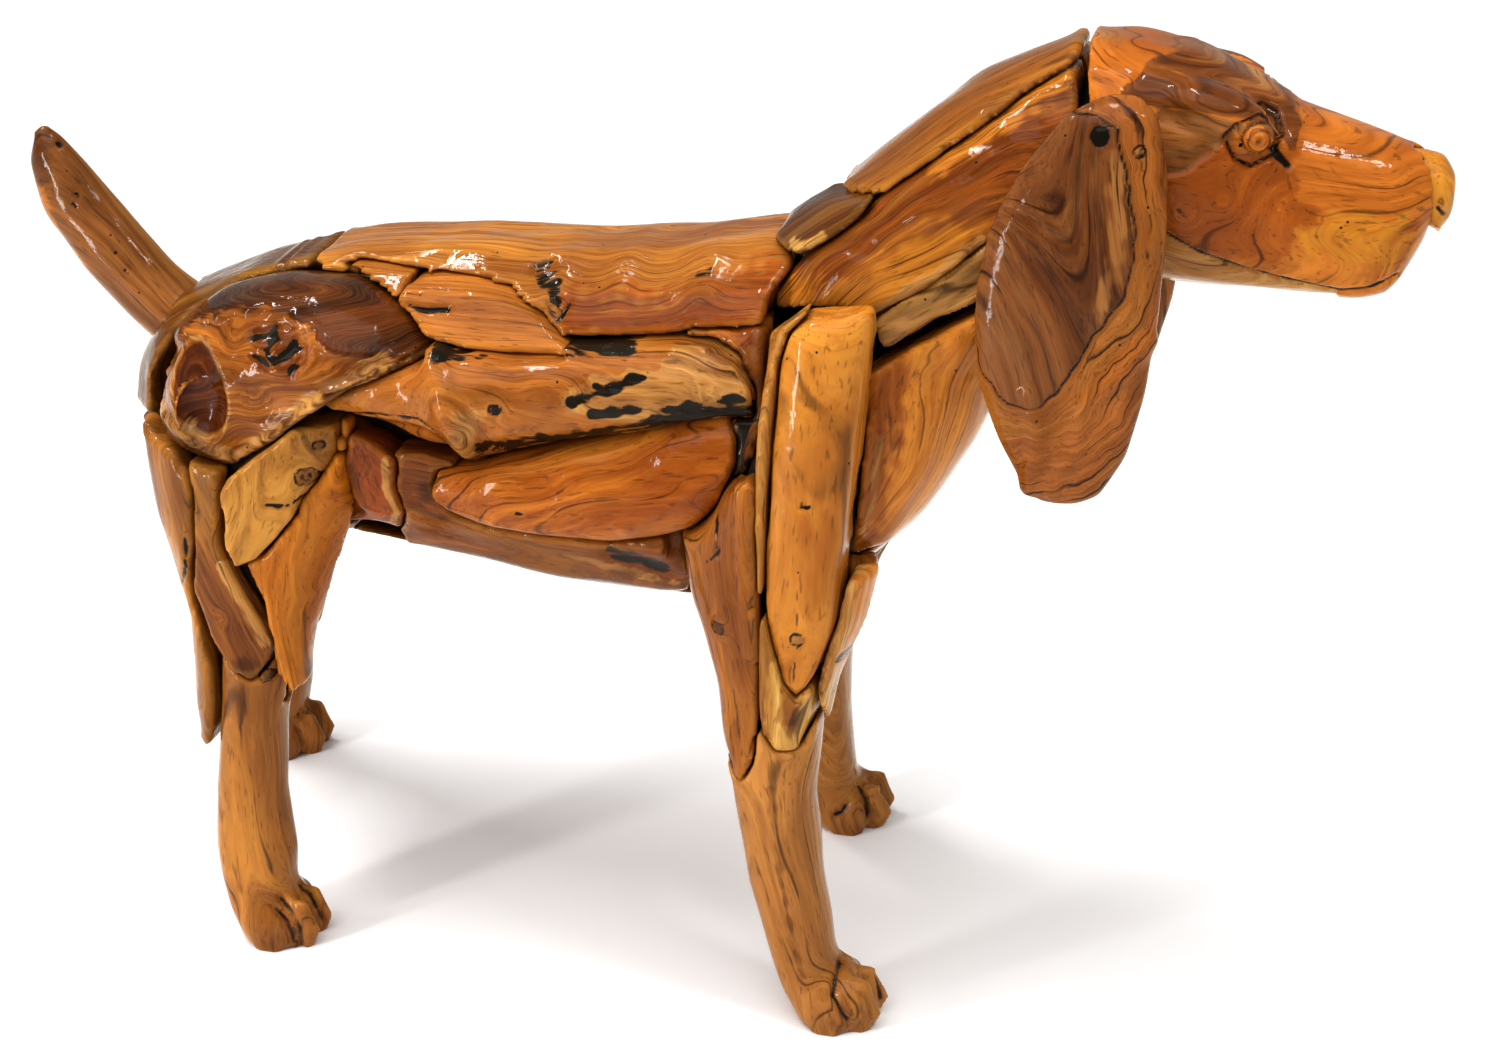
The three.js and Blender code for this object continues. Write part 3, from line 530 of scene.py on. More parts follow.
# Grooves of the paws, as [ahead, aside, height] from the middle of the toes
FLAT_GROOVE = ((-20, 21, 48), (6, 22, 47), (22, 23, 36), (30, 23, 18), (26, 22, 0))
INNER_GROOVE = ((-8, -18, 50), (18, -18, 46), (34, -18, 30), (38, -17, 12), (34, -17, 0))
MIDDLE_GROOVE = ((-6, 3, 56), (16, 3, 49), (32, 3, 36), (40, 3, 16), (37, 3, 0))
feet = (
    ("fore_foot_right", "orange_teak", fore_foot_finish, 166, RIGHT, -0.25, (
        ((4, -16, 56), (-1, -4, 54), (-2, 8, 52), (-2, 20, 48), (-2, 31, 39), (8, 35, 23), (22, 33, 0)),
        ((29, -9, 38), (34, -4, 18), (36, -1, 0)),
        INNER_GROOVE,
    )),
    ("fore_foot_left", "orange_teak", fore_foot_finish, 112, LEFT, -0.35, (
        ((0, -35, 38), (-6, -37, 26), (-14, -39, 22)),
        ((8, -16, 46), (14, -19, 32), (18, -22, 20), (18, -34, 4)),
        ((28, -9, 40), (34, 0, 24), (38, 4, 6)),
        FLAT_GROOVE,
    )),
    ("hind_foot_right", "amber_teak", hind_foot_finish, -348, RIGHT, 0.02, (
        ((-2, 17, 50), (6, 20, 46), (14, 23, 38), (22, 26, 22), (21, 25, 0)),
        ((2, 28, 42), (12, 28, 30), (17, 28, 11)),
        ((10, -8, 46), (20, -3, 40), (29, -1, 26), (33, -2, 6)),
    )),
    ("hind_foot_left", "amber_teak", hind_foot_finish, -480, LEFT, 0.2, (
        FLAT_GROOVE,
        MIDDLE_GROOVE,
        INNER_GROOVE,
    )),
)
for seed, (node, slot, finish, paw_x, side, lean, grooves) in enumerate(feet):
    foot = sanded(node, FINE_FACES, 4, 40, 0.8, 0.6, 30 + seed)
    paw_y = side * PAW_ASIDE
    knuckles = reach(foot, [(paw_x + 4, paw_y - 24, 12), (paw_x + 4, paw_y + 24, 12)])
    paint(foot, "brown", 0.55 * bell(knuckles, 62))
    if node == "fore_foot_right":
        bulge = [(paw_x + 14, paw_y - 10, 46), (paw_x + 14, paw_y - 30, 26)]
        carve(foot, bell(reach(foot, bulge), 20), 3.5)
    for groove in grooves:
        line = [(paw_x + ahead, paw_y + side * aside, height) for ahead, aside, height in groove]
        fissure(foot, line, 6, 4, side, 0.75, 0)
    shin = [(paw_x - 58, 230), (paw_x - 50, 160), (paw_x - 40, 90), (paw_x - 28, 52)]
    paint(foot, "brown", 0.5 * bell(reach(foot, shin, side=side, wobble=3), 7))
    if node == "hind_foot_right":
        plug(foot, -341, 274, 6, "brown")
    grow(foot, finish, (lean, 0, 1), knots=[(paw_x - 6, 46, 16)], seed=3 + seed, side=side)

# Thighs
# Four slabs of root clothe the outside of the right thigh, one of them pale sapwood, and two
# the left one. A plank closes the inner face of each.
PALE_DARK = (0.18, 0.070, 0.022)
PLAIN_FACES = 0.0036  # size of the small faces of slabs that are hardly seen, in metres
thigh_finish = lacquered_teak(
    "thigh_teak",
    (0.34, 0.125, 0.028),
    (0.14, 0.047, 0.010),
    [("brown", BROWN_LIGHT, BROWN_DARK), ("pale", PALE_LIGHT, PALE_DARK)],
    holes=0.4,
)
golden_thigh_finish = lacquered_teak(
    "golden_thigh_teak",
    (0.54, 0.182, 0.014),
    (0.27, 0.072, 0.006),
    lines=0.6,
)
brown_thigh_finish = lacquered_teak(
    "brown_thigh_teak",
    (0.22, 0.068, 0.012),
    (0.085, 0.023, 0.004),
    [("brown", (0.08, 0.02, 0.006), (0.03, 0.009, 0.003)), ("pale", PALE_LIGHT, PALE_DARK)],
    rough=1.5,
)
sapwood_finish = lacquered_teak(
    "sapwood_teak",
    (0.47, 0.235, 0.060),
    (0.21, 0.078, 0.015),
    [("brown", (0.25, 0.10, 0.02), (0.12, 0.04, 0.01))],
    lines=0.5,
)
thigh_rear = sanded("thigh_rear_right", seed=41)
paint(thigh_rear, "brown", 0.7 * bell(reach(thigh_rear, [(-492, 480), (-476, 350), (-448, 250)]), 34))
fissure(thigh_rear, [(-400, 400), (-404, 372), (-414, 352)], 3.5, 1.6)
grow(thigh_rear, thigh_finish, (0.22, 0, -1), knots=[(-423, 389, 7), (-432, 330, 6)], seed=8)

thigh_mid = sanded("thigh_mid_right", seed=42)
paint(thigh_mid, "pale", bell(reach(thigh_mid, [(-366, 378), (-350, 345), (-336, 310)], wobble=2), 10))
paint(thigh_mid, "brown", bell(reach(thigh_mid, [(-352, 284)], wobble=3), 20))
grow(thigh_mid, brown_thigh_finish, (0.35, 0, -1), knots=[(-372, 330, 8)], seed=9)

thigh_patch = sanded("thigh_patch_right", 0.0028, seed=43)
plug(thigh_patch, -289, 465, 8, "brown")
plug(thigh_patch, -289, 465, 3, "brown")
plug(thigh_patch, -279, 491, 4, "brown")
fissure(thigh_patch, [(-292, 446), (-306, 440), (-322, 441)], 3, 2)
grow(thigh_patch, sapwood_finish, (0.45, 0, 0.9), knots=[(-289, 465, 12)], seed=10)

thigh_front = sanded("thigh_front_right", seed=44)
carve(thigh_front, bell(reach(thigh_front, [(-272, 505), (-274, 400), (-300, 320)]), 16), 2.0)
grow(thigh_front, golden_thigh_finish, (-0.18, 0, 1), knots=[(-300, 345, 8)], seed=11)

for seed, (node, slot, finish, side) in enumerate((
    ("thigh_inner_right", "amber_teak", golden_thigh_finish, LEFT),
    ("thigh_inner_left", "amber_teak", golden_thigh_finish, RIGHT),
    ("thigh_rear_left", "orange_teak", thigh_finish, LEFT),
    ("thigh_front_left", "amber_teak", golden_thigh_finish, LEFT),
)):
    slab = sanded(node, PLAIN_FACES, seed=50 + seed)
    grow(slab, finish, (0.1, 0, 1), seed=12 + seed, side=side)

# Forelegs and shoulders
# A long tusk of golden root runs down each shoulder. Behind it on the right is a sapwood strip
# that ends in a pale loop, and a slab on either side clothes the leg.
foreleg_finish = lacquered_teak(
    "foreleg_teak",
    (0.40, 0.132, 0.024),
    (0.17, 0.050, 0.009),
    [("pale", PALE_LIGHT, PALE_DARK), ("brown", BROWN_LIGHT, BROWN_DARK)],
    rough=1.5,
)
foreleg_rear = sanded("foreleg_rear_right", seed=61)
leaf = [(74, 500), (80, 402), (84, 350), (98, 346), (104, 500)]
carve(foreleg_rear, bell(reach(foreleg_rear, leaf, True) + 3, 5), 2.2)
fissure(foreleg_rear, leaf[:4], 3, 1.6, share=0.5)
fissure(foreleg_rear, [(74, 318), (84, 246), (94, 276)], 3, 1.8, share=0.5)
fissure(foreleg_rear, [(60, 470), (63, 440), (52, 428)], 2.5, 1.2)
plug(foreleg_rear, 62, 372, 6, "brown")
grow(foreleg_rear, foreleg_finish, (-0.12, 0, 1), knots=[(62, 372, 10)], seed=17)

light_foreleg_finish = lacquered_teak(
    "light_foreleg_teak",
    (0.72, 0.30, 0.080),
    (0.44, 0.150, 0.032),
    [("pale", (0.74, 0.46, 0.20), (0.30, 0.13, 0.045)), ("brown", BROWN_LIGHT, BROWN_DARK)],
    rough=1.5,
)
foreleg_front = sanded("foreleg_front_right", 0.0028, seed=62)
live_edge = reach(foreleg_front, [(164, 425), (155, 372), (143, 320), (144, 262)], wobble=3)
paint(foreleg_front, "pale", bell(live_edge, 20))
plug(foreleg_front, 162, 347, 4.5, "brown")
plug(foreleg_front, 163, 306, 5, "brown")
plug(foreleg_front, 158, 276, 4, "brown")
grow(foreleg_front, light_foreleg_finish, (0.2, 0, 1), seed=18)

strip_finish = lacquered_teak(
    "strip_teak",
    (0.54, 0.27, 0.085),
    (0.19, 0.066, 0.015),
    [
        ("brown", (0.30, 0.11, 0.03), (0.14, 0.045, 0.012)),
        ("pale", (0.74, 0.46, 0.18), (0.50, 0.25, 0.07)),
    ],
)
shoulder_strip = sanded("shoulder_strip_right", 0.0028, seed=63)
loop = [(112, 345), (107, 295), (121, 268), (133, 282), (137, 315)]
paint(shoulder_strip, "pale", bell(reach(shoulder_strip, loop, wobble=1.5), 11))
paint(shoulder_strip, "brown", bell(reach(shoulder_strip, [(123, 318), (123, 296)], wobble=1.5), 9))
grow(shoulder_strip, strip_finish, (0, 0, 1), wander=3, seed=19)

tusk_finish = lacquered_teak(
    "tusk_teak",
    (0.64, 0.280, 0.058),
    (0.34, 0.110, 0.016),
    [("pale", PALE_LIGHT, PALE_DARK), ("brown", BROWN_LIGHT, BROWN_DARK)],
    lines=0.6,
    gloss=0.06,
)
tusk = sanded("shoulder_tusk_right", seed=64)
plug(tusk, 128, 372, 5.5, "pale")
fissure(tusk, [(127, 428), (130, 400), (128, 379)], 2.4, 0.8, share=0.5)
fissure(tusk, [(128, 365), (126, 340), (124, 326)], 2.4, 1.0, share=0.6)
fissure(tusk, [(131, 492), (139, 490)], 3.4, 1.5)
grow(tusk, tusk_finish, (0.04, 0, 1), wander=4, seed=20)

for seed, (node, slot, finish, side) in enumerate((
    ("foreleg_inner_right", "orange_teak", foreleg_finish, LEFT),
    ("foreleg_inner_left", "orange_teak", foreleg_finish, RIGHT),
    ("foreleg_rear_left", "orange_teak", foreleg_finish, LEFT),
    ("foreleg_front_left", "orange_teak", foreleg_finish, LEFT),
    ("shoulder_tusk_left", "amber_teak", tusk_finish, LEFT),
)):
    slab = sanded(node, PLAIN_FACES, seed=70 + seed)
    grow(slab, finish, (0.08, 0, 1), seed=21 + seed, side=side)

# Belly
# Two long slabs close the flanks below and a keel the middle, with a dark block in the groin.
# The right one has a scorched hollow behind the foreleg.
belly_finish = lacquered_teak(
    "belly_teak",
    (0.29, 0.080, 0.012),
    (0.105, 0.026, 0.004),
    [("pale", PALE_LIGHT, PALE_DARK)],
)
belly = sanded("belly_slab_right", seed=81)
scorch = reach(belly, [(-40, 407), (-18, 402), (0, 392)], wobble=3)
carve(belly, bell(scorch, 20), -3)
paint(belly, "burnt_and_shade", bell(scorch, 14))
paint(belly, "pale", 0.8 * bell(reach(belly, [(-78, 400), (-30, 386), (10, 374)], wobble=3), 9))
grow(belly, belly_finish, (1, 0, -0.12), knots=[(-212, 422, 7)], seed=31)
for seed, (node, slot, run, side) in enumerate((
    ("belly_slab_left", "orange_teak", (1, 0, -0.12), LEFT),
    ("belly_keel", "orange_teak", (1, 0, 0), RIGHT),
    ("groin_block", "dark_teak", (0, 1, 0.1), RIGHT),
)):
    slab = sanded(node, PLAIN_FACES, seed=84 + seed)
    grow(slab, belly_finish, run, seed=32 + seed, side=side)

# Flanks
# Two big roots cross each flank. The upper one comes to a pyramid near the thigh and ends in
# rough sapwood with scorched bark; a block at either end fills in behind them.
deep_finish = lacquered_teak(
    "deep_red_teak",
    (0.32, 0.070, 0.010),
    (0.11, 0.023, 0.004),
    [("pale", PALE_LIGHT, PALE_DARK)],
    rough=2.5,
)
flank_block = sanded("flank_block_right", 0.0028, seed=91)
rim = reach(flank_block, [(-230, 474), (-233, 448), (-227, 424), (-238, 403)], wobble=1)
paint(flank_block, "pale", bell(rim, 6))
grow(flank_block, deep_finish, (-0.4, 0, 1), knots=[(-268, 425, 10)], seed=36)
rib_block = sanded("rib_block_right", seed=92)
paint(rib_block, "burnt_and_shade", bell(reach(rib_block, [(78, 560), (72, 480)], wobble=4), 24))
grow(rib_block, deep_finish, (0.1, 0, 1), seed=37)

lower_finish = lacquered_teak("lower_flank_teak", (0.58, 0.200, 0.028), (0.24, 0.055, 0.006), lines=0.8)
flank_lower = sanded("flank_lower_right", 0.0029, seed=93)
facet = reach(flank_lower, [(68, 508), (54, 496), (30, 479), (-22, 446)])
carve(flank_lower, bell(facet, 14), 3.0)
carve(flank_lower, bell(reach(flank_lower, [(-100, 470), (0, 505)]), 20), -1.5)
fissure(flank_lower, [(-112, 446), (-108, 445)], 3.5, 2)
grow(flank_lower, lower_finish, (1, 0, 0.16), (-60, -100, 480), wander=8, seed=38)
flank_lower_left = sanded("flank_lower_left", PLAIN_FACES, seed=94)
grow(flank_lower_left, lower_finish, (1, 0, 0.16), wander=8, seed=39, side=LEFT)

upper_finish = lacquered_teak(
    "upper_flank_teak",
    (0.48, 0.175, 0.040),
    (0.21, 0.062, 0.012),
    [("pale", PALE_LIGHT, PALE_DARK)],
    rough=3.0,
)
flank_upper = sanded("flank_upper_right", 0.0029, seed=95)
crest = [(-180, 567), (-168, 555), (-160, 535), (-159, 506), (-163, 480)]
carve(flank_upper, bell(reach(flank_upper, crest), 17), 6.0)
carve(flank_upper, bell(reach(flank_upper, [(-205, 545), (-190, 535)]), 22), -3.0)
carve(flank_upper, bell(reach(flank_upper, [(-128, 535), (-110, 548)]), 26), -3.0)
seam = [(-281, 508), (-231, 521), (-189, 524), (-178, 514), (-168, 482)]
fissure(flank_upper, seam, 3.2, 1.6, share=0.8)
under = reach(flank_upper, [(-270, 500), (-225, 508), (-190, 508), (-176, 486)])
carve(flank_upper, bell(under, 14), -3.0)
fan = reach(flank_upper, [(-162, 480), (-152, 512), (-146, 530)], wobble=3)
paint(flank_upper, "pale", 0.85 * bell(fan, 22))
bare = [(-70, 553), (-20, 536), (80, 548), (86, 600), (40, 606), (10, 582), (-30, 572)]
bare_share = bell(reach(flank_upper, bare, True, wobble=5) + 4, 14)
paint(flank_upper, "pale", bare_share)
ridges = waves(points_of(flank_upper) * (0.22, 1, 1), 13, 9)
carve(flank_upper, bare_share * ridges, 1.0)
# Black scorch marks on the bark. The last and longest line is painted shade: a black band along the lower
# edge, ragged like the scorch.
for scorch_and_shade, width in (
    ([(-178, 577), (-139, 583)], 9),
    ([(-90, 586), (-50, 590), (-20, 592)], 9),
    ([(-60, 553), (-32, 563), (-4, 574)], 6),
    ([(-44, 540), (-5, 550)], 7),
    ([(16, 550), (48, 557), (76, 562)], 8),
    ([(-142, 496), (-98, 508), (-44, 519), (4, 534), (42, 548), (80, 553)], 12),
):
    share = bell(reach(flank_upper, scorch_and_shade, wobble=3), 1.3 * width)
    carve(flank_upper, share, -1.2)
    paint(flank_upper, "burnt_and_shade", 1.1 * share)
plug(flank_upper, -123, 540, 4.5, "burnt_and_shade")
flank_knots = [(-158, 510, 24), (-123, 540, 8)]
grow(flank_upper, upper_finish, (1, 0, 0.08), knots=flank_knots, wander=9, seed=40)
flank_upper_left = sanded("flank_upper_left", PLAIN_FACES, seed=96)
grow(flank_upper_left, upper_finish, (1, 0, 0.08), knots=[(-158, 510, 24)], wander=10, seed=41, side=LEFT)

# Leaves over the flanks
# A light slab like a leaf lies under the back on either side, split at its hind end on the
# right, where a narrow strip fills in beside it.
leaf_finish = lacquered_teak("leaf_teak", (0.50, 0.185, 0.040), (0.24, 0.074, 0.014), lines=0.5, gloss=0.06)
flank_leaf = sanded("flank_leaf_right", 0.0026, seed=101)
fissure(flank_leaf, [(-212, 602), (-197, 600), (-178, 602)], 4.5, 3.5)
grow(flank_leaf, leaf_finish, (1, 0, -0.12), wander=4, seed=44)
back_strip = sanded("back_strip_right", 0.0022, 3, 40, 0.8, 0.5, 102)
grow(back_strip, leaf_finish, (1, 0, -0.3), wander=4, seed=45)
flank_leaf_left = sanded("flank_leaf_left", PLAIN_FACES, seed=103)
grow(flank_leaf_left, leaf_finish, (1, 0, -0.12), wander=4, seed=46, side=LEFT)

# Hips
# A glossy red-brown dome of burr wood covers each hip. On the right it is cut away below a
# curved ridge, down to an orange burl with black cracks and curls, beside a smooth hollow.
hip_finish = lacquered_teak(
    "hip_teak",
    (0.135, 0.034, 0.007),
    (0.026, 0.006, 0.002),
    [
        ("face", (0.42, 0.150, 0.032), (0.15, 0.042, 0.008)),
        ("brown", (0.16, 0.038, 0.007), (0.045, 0.010, 0.002)),
        ("pale", PALE_LIGHT, PALE_DARK),
    ],
    lines=0.3,
    rough=2.0,
    gloss=0.06,
    golden=0.0,
)
hip = sanded("hip_burl_right", 0.0027, seed=111)
ridge = [(-430, 545), (-417, 559), (-387, 580), (-356, 592), (-325, 597), (-299, 594), (-277, 587)]
ridge += [(-267, 575), (-246, 571), (-205, 566)]
rim = [(-436, 504), (-406, 502), (-376, 486), (-354, 472), (-324, 498), (-298, 518), (-268, 545)]
rim += [(-221, 565)]
cut_away = bell(reach(hip, ridge + rim[::-1], True, wobble=2) + 2, 7)
carve(hip, cut_away, -5.5)
carve(hip, bell(reach(hip, ridge), 10), 2.6)
paint(hip, "face", 1.4 * cut_away)
carve(hip, cut_away * waves(points_of(hip), 26, 12), 0.7)
rim_share = bell(reach(hip, rim, wobble=3), 13)
carve(hip, rim_share * waves(points_of(hip) * (0.5, 1, 0.5), 11, 7), 0.7)
paint(hip, "pale", 0.75 * rim_share)
bowl_x, bowl_z = -381, 529
bowl_width, bowl_height, bowl_slant = 26, 36, -4
turns = [2 * pi * i / 16 for i in range(16)]
mouth_x = [bowl_x + bowl_width * np.cos(turn) + bowl_slant * np.sin(turn) for turn in turns]
mouth_z = [bowl_z + bowl_height * np.sin(turn) for turn in turns]
bowl = reach(hip, list(zip(mouth_x, mouth_z)), True)
carve(hip, bell(bowl + 10, 18), -2.5)
carve(hip, bell(abs(bowl - 3), 5), 1.0)
paint(hip, "brown", bell(bowl + 3, 6))
paint(hip, "pale", 0.75 * bell(abs(bowl - 3), 3.5))
cluster = [(-334, 578), (-318, 586), (-297, 584), (-284, 570), (-290, 559), (-306, 553), (-322, 561)]
near_cluster = reach(hip, cluster, True, wobble=3)
curls = waves(points_of(hip), 15, 19) + 0.25
paint(hip, "brown", 0.6 * bell(near_cluster, 12))
carve(hip, bell(near_cluster, 6) * np.clip(curls, -0.6, 1), -2.2)
paint(hip, "burnt_and_shade", bell(near_cluster + 2, 6) * np.clip(2.2 * curls, 0, 1.2))
for x, z, radius in ((-291, 570, 4), (-329, 526, 14), (-330, 526, 8)):
    ring = bell(abs(reach(hip, [(x, z)], wobble=2) - radius), 3)
    carve(hip, ring, -1.0)
    paint(hip, "cut", 0.35 * ring)
hip_knots = [(-384, 529, 24), (-329, 526, 16), (-300, 566, 14), (-350, 575, 10)]
grow(hip, hip_finish, (1, 0, 0.15), (-320, -120, 480), hip_knots, 9, seed=47)
hip_left = sanded("hip_burl_left", PLAIN_FACES, seed=112)
grow(hip_left, hip_finish, (1, 0, 0.15), knots=[(-330, 530, 16)], wander=9, seed=48, side=LEFT)

# Rump and back
# One slab makes the whole back, light orange with a knot and a black crack, redder toward the
# shoulders. A narrower olive-brown band curves down over the rump.
rump_finish = lacquered_teak(
    "rump_teak",
    (0.170, 0.058, 0.014),
    (0.055, 0.017, 0.004),
    [("brown", BROWN_LIGHT, BROWN_DARK), ("pale", PALE_LIGHT, PALE_DARK)],
)
rump = sanded("rump_band", 0.0032, seed=121)
stub = reach(rump, [(-346, 606)])
carve(rump, bell(stub, 14), 3)
carve(rump, bell(stub, 6), -4)
paint(rump, "brown", bell(stub, 12))
grow(rump, rump_finish, (0.8, 0, 0.5), knots=[(-400, 590, 12), (-346, 606, 8)], seed=49)

back_finish = lacquered_teak(
    "back_teak",
    (0.55, 0.235, 0.055),
    (0.22, 0.068, 0.013),
    [("red", (0.36, 0.088, 0.014), (0.15, 0.032, 0.005))],
    lines=0.6,
    gloss=0.06,
)
back = sanded("back_slab", 0.0026, 3, 60, seed=122)
dents = bell(reach(back, [(-200, 630), (-120, 628), (-60, 630)]), 34)
carve(back, dents * waves(points_of(back) * (0.5, 1, 1), 34, 17), 1.5)
paint(back, "red", 0.8 * bell(reach(back, [(-75, 606), (20, 612), (92, 640)], wobble=6), 36))
scorch = reach(back, [(-114, 628), (-98, 622), (-88, 608)], wobble=3)
carve(back, bell(scorch, 11), -3.5)
paint(back, "burnt_and_shade", bell(scorch, 10))
fissure(back, [(-86, 600), (-78, 612)], 5, 3)
eye_of_knot = reach(back, [(24, 637), (32, 641)], wobble=1.5)
carve(back, bell(eye_of_knot, 9), -1)
paint(back, "burnt_and_shade", 0.75 * bell(eye_of_knot, 7))
back_knots = [(28, 639, 20), (-40, 632, 16), (-95, 622, 14)]
grow(back, back_finish, (1, 0, 0), knots=back_knots, wander=8, seed=50)

# Tail
# One curved, pointed root, greyish brown with an orange lower edge, a dark tip and pin holes.
# It is let in behind the rump band.
tail_finish = lacquered_teak(
    "tail_teak",
    (0.34, 0.134, 0.044),
    (0.13, 0.045, 0.014),
    [
        ("orange", (0.50, 0.20, 0.045), (0.28, 0.09, 0.018)),
        ("brown", (0.15, 0.055, 0.025), (0.06, 0.02, 0.009)),
    ],
    holes=0.6,
)
tail = sanded("tail", 0.0028, seed=131)
under_edge = [(-589, 655), (-574, 609), (-548, 570), (-512, 530), (-470, 495)]
paint(tail, "orange", bell(reach(tail, under_edge, wobble=3), 22))
paint(tail, "brown", bell(reach(tail, [(-585, 690), (-578, 668)], wobble=4), 26))
for x, z in ((-564, 688), (-545, 648), (-504, 584), (-548, 640), (-512, 600)):
    fissure(tail, [(x, z), (x + 3, z - 3)], 3, 2, wobble=0)
grow(tail, tail_finish, (0.72, 0, -0.7), wander=4, seed=51)

# Neck and chest
# Long roots run up the neck to the skull, deep red above and golden below, over a strip that
# still has its pale ridged bark. A broad slab makes the chest, and a dark chip the withers.
neck_finish = lacquered_teak(
    "neck_teak",
    (0.34, 0.096, 0.014),
    (0.115, 0.026, 0.004),
    [("gold", (0.56, 0.23, 0.036), (0.33, 0.11, 0.015)), ("pale", PALE_LIGHT, PALE_DARK)],
    rough=1.5,
    gloss=0.06,
)
neck_slab = sanded("neck_slab_right", seed=141)
paint(neck_slab, "gold", 0.9 * bell(reach(neck_slab, [(100, 622), (172, 642), (235, 690)], wobble=5), 34))
paint(neck_slab, "gold", 0.8 * bell(reach(neck_slab, [(215, 745), (300, 812)], wobble=5), 22))
paint(neck_slab, "pale", bell(reach(neck_slab, [(168, 630), (212, 659), (252, 695)], wobble=2), 8))
swell = reach(neck_slab, [(130, 650), (200, 705), (270, 765)])
carve(neck_slab, bell(swell, 26), 3)
carve(neck_slab, bell(swell, 40) * waves(points_of(neck_slab) * (0.7, 1, 1), 34, 21), 1.6)
grow(neck_slab, neck_finish, (0.78, 0, 0.62), wander=6, seed=52)

bark_finish = lacquered_teak(
    "bark_teak",
    (0.56, 0.31, 0.12),
    (0.14, 0.060, 0.020),
    [("pale", PALE_LIGHT, (0.20, 0.09, 0.03))],
    rough=4.0,
    gloss=0.16,
)
neck_bark = sanded("neck_bark_right", 0.0026, 4, 20, seed=142)
bark_way = Vector((0.8, 0, 0.6)).normalized()
bark_run = points_of(neck_bark) @ np.array(bark_way)
squeezed = points_of(neck_bark) - 0.85 * bark_run[:, None] * np.array(bark_way)
ridged = waves(squeezed, 9, 23)
carve(neck_bark, ridged, 2.0)
# The hollows between the carved ridges are painted darker.
paint(neck_bark, "cut", 0.5 * np.clip(-ridged - 0.2, 0, 1))
paint(neck_bark, "pale", 0.5 + 0.4 * waves(squeezed, 12, 24))
grow(neck_bark, bark_finish, (0.8, 0, 0.6), wander=3, seed=53)

chest_finish = lacquered_teak(
    "chest_teak",
    (0.80, 0.340, 0.062),
    (0.42, 0.135, 0.021),
    [("red", (0.42, 0.125, 0.022), (0.19, 0.050, 0.008)), ("pale", PALE_LIGHT, PALE_DARK)],
    lines=0.6,
    gloss=0.07,
)
chest = sanded("chest_slab_right", seed=143)
paint(chest, "red", 0.9 * bell(reach(chest, [(190, 585), (178, 520), (166, 440)], wobble=5), 30))
paint(chest, "pale", bell(reach(chest, [(183, 535), (178, 480), (168, 442)], wobble=1), 4))
carve(chest, bell(reach(chest, [(238, 610), (214, 520), (180, 430)]), 16), 3.0)
wrinkles = bell(reach(chest, [(218, 600), (236, 580)]), 26)
carve(chest, wrinkles * waves(points_of(chest) * (1.4, 1, 0.8), 18, 25), 1.6)
grow(chest, chest_finish, (0.45, 0, 0.9), wander=5, seed=54)

chip_finish = lacquered_teak(
    "chip_teak",
    (0.16, 0.052, 0.012),
    (0.035, 0.010, 0.003),
    [("pale", (0.62, 0.36, 0.14), PALE_DARK)],
    rough=2.0,
)
chip = sanded("withers_chip_right", 0.0026, 4, seed=144)
paint(chip, "pale", bell(reach(chip, [(100, 668), (116, 672), (126, 680)], wobble=1), 7))
grow(chip, chip_finish, (0.8, 0, 0.5), seed=55)

nape_finish = lacquered_teak("nape_teak", (0.37, 0.135, 0.022), (0.16, 0.050, 0.009), lines=0.6)
for seed, (node, slot, run, finish, side) in enumerate((
    ("nape_slab", "amber_teak", (0.78, 0, 0.62), nape_finish, RIGHT),
    ("throat_slab", "amber_teak", (0.3, 0, 1), nape_finish, RIGHT),
    ("neck_slab_left", "orange_teak", (0.78, 0, 0.62), neck_finish, LEFT),
    ("chest_slab_left", "amber_teak", (0.45, 0, 0.9), chest_finish, LEFT),
)):
    slab = sanded(node, 0.0034, seed=150 + seed)
    grow(slab, finish, run, seed=56 + seed, side=side)

# Head
# Skull, cheeks, muzzle and jaw are carved from one block. Glossy brows overhang pale, rough
# temples and leaf-shaped sockets with ringed eyes; the upper lip overlaps a pale jaw.
head_finish = lacquered_teak(
    "head_teak",
    (0.66, 0.225, 0.036),
    (0.32, 0.086, 0.013),
    [
        ("brown", (0.23, 0.082, 0.028), (0.070, 0.022, 0.008)),
        ("red", (0.42, 0.118, 0.018), (0.25, 0.062, 0.010)),
        ("gold", (0.60, 0.26, 0.036), (0.42, 0.15, 0.018)),
        ("tan", (0.42, 0.19, 0.065), (0.15, 0.055, 0.018)),
        ("pale", (0.62, 0.35, 0.14), (0.36, 0.17, 0.055)),
    ],
    lines=0.7,
    rough=2.5,
    gloss=0.07,
)
head = sanded("head", 0.0023, 5, 60, 1.0, 0.5, 161)
brow = [(350, 806), (368, 824), (392, 829), (420, 822), (448, 810), (468, 796), (477, 782), (474, 768)]
brow += [(466, 778), (452, 795), (430, 799), (405, 801), (379, 800)]
temple = [(378, 797), (405, 797), (428, 792), (440, 788), (427, 778), (405, 758), (380, 748), (362, 752)]
socket = [(425, 779), (434, 790), (449, 797), (461, 791), (466, 777), (459, 764), (446, 758), (434, 764)]
cheek = [(378, 745), (400, 757), (425, 772), (440, 758), (470, 760), (478, 735), (492, 720)]
cheek += [(470, 690), (400, 705)]
mouth = [(372, 716), (392, 704), (414, 692), (446, 680), (473, 671), (517, 660), (540, 664), (560, 674)]
jaw = mouth[:6] + [(517, 630), (372, 630)]
lip = [(492, 706), (520, 716), (556, 710), (572, 694), (556, 684), (520, 688)]
eye_middle = (450, 779)
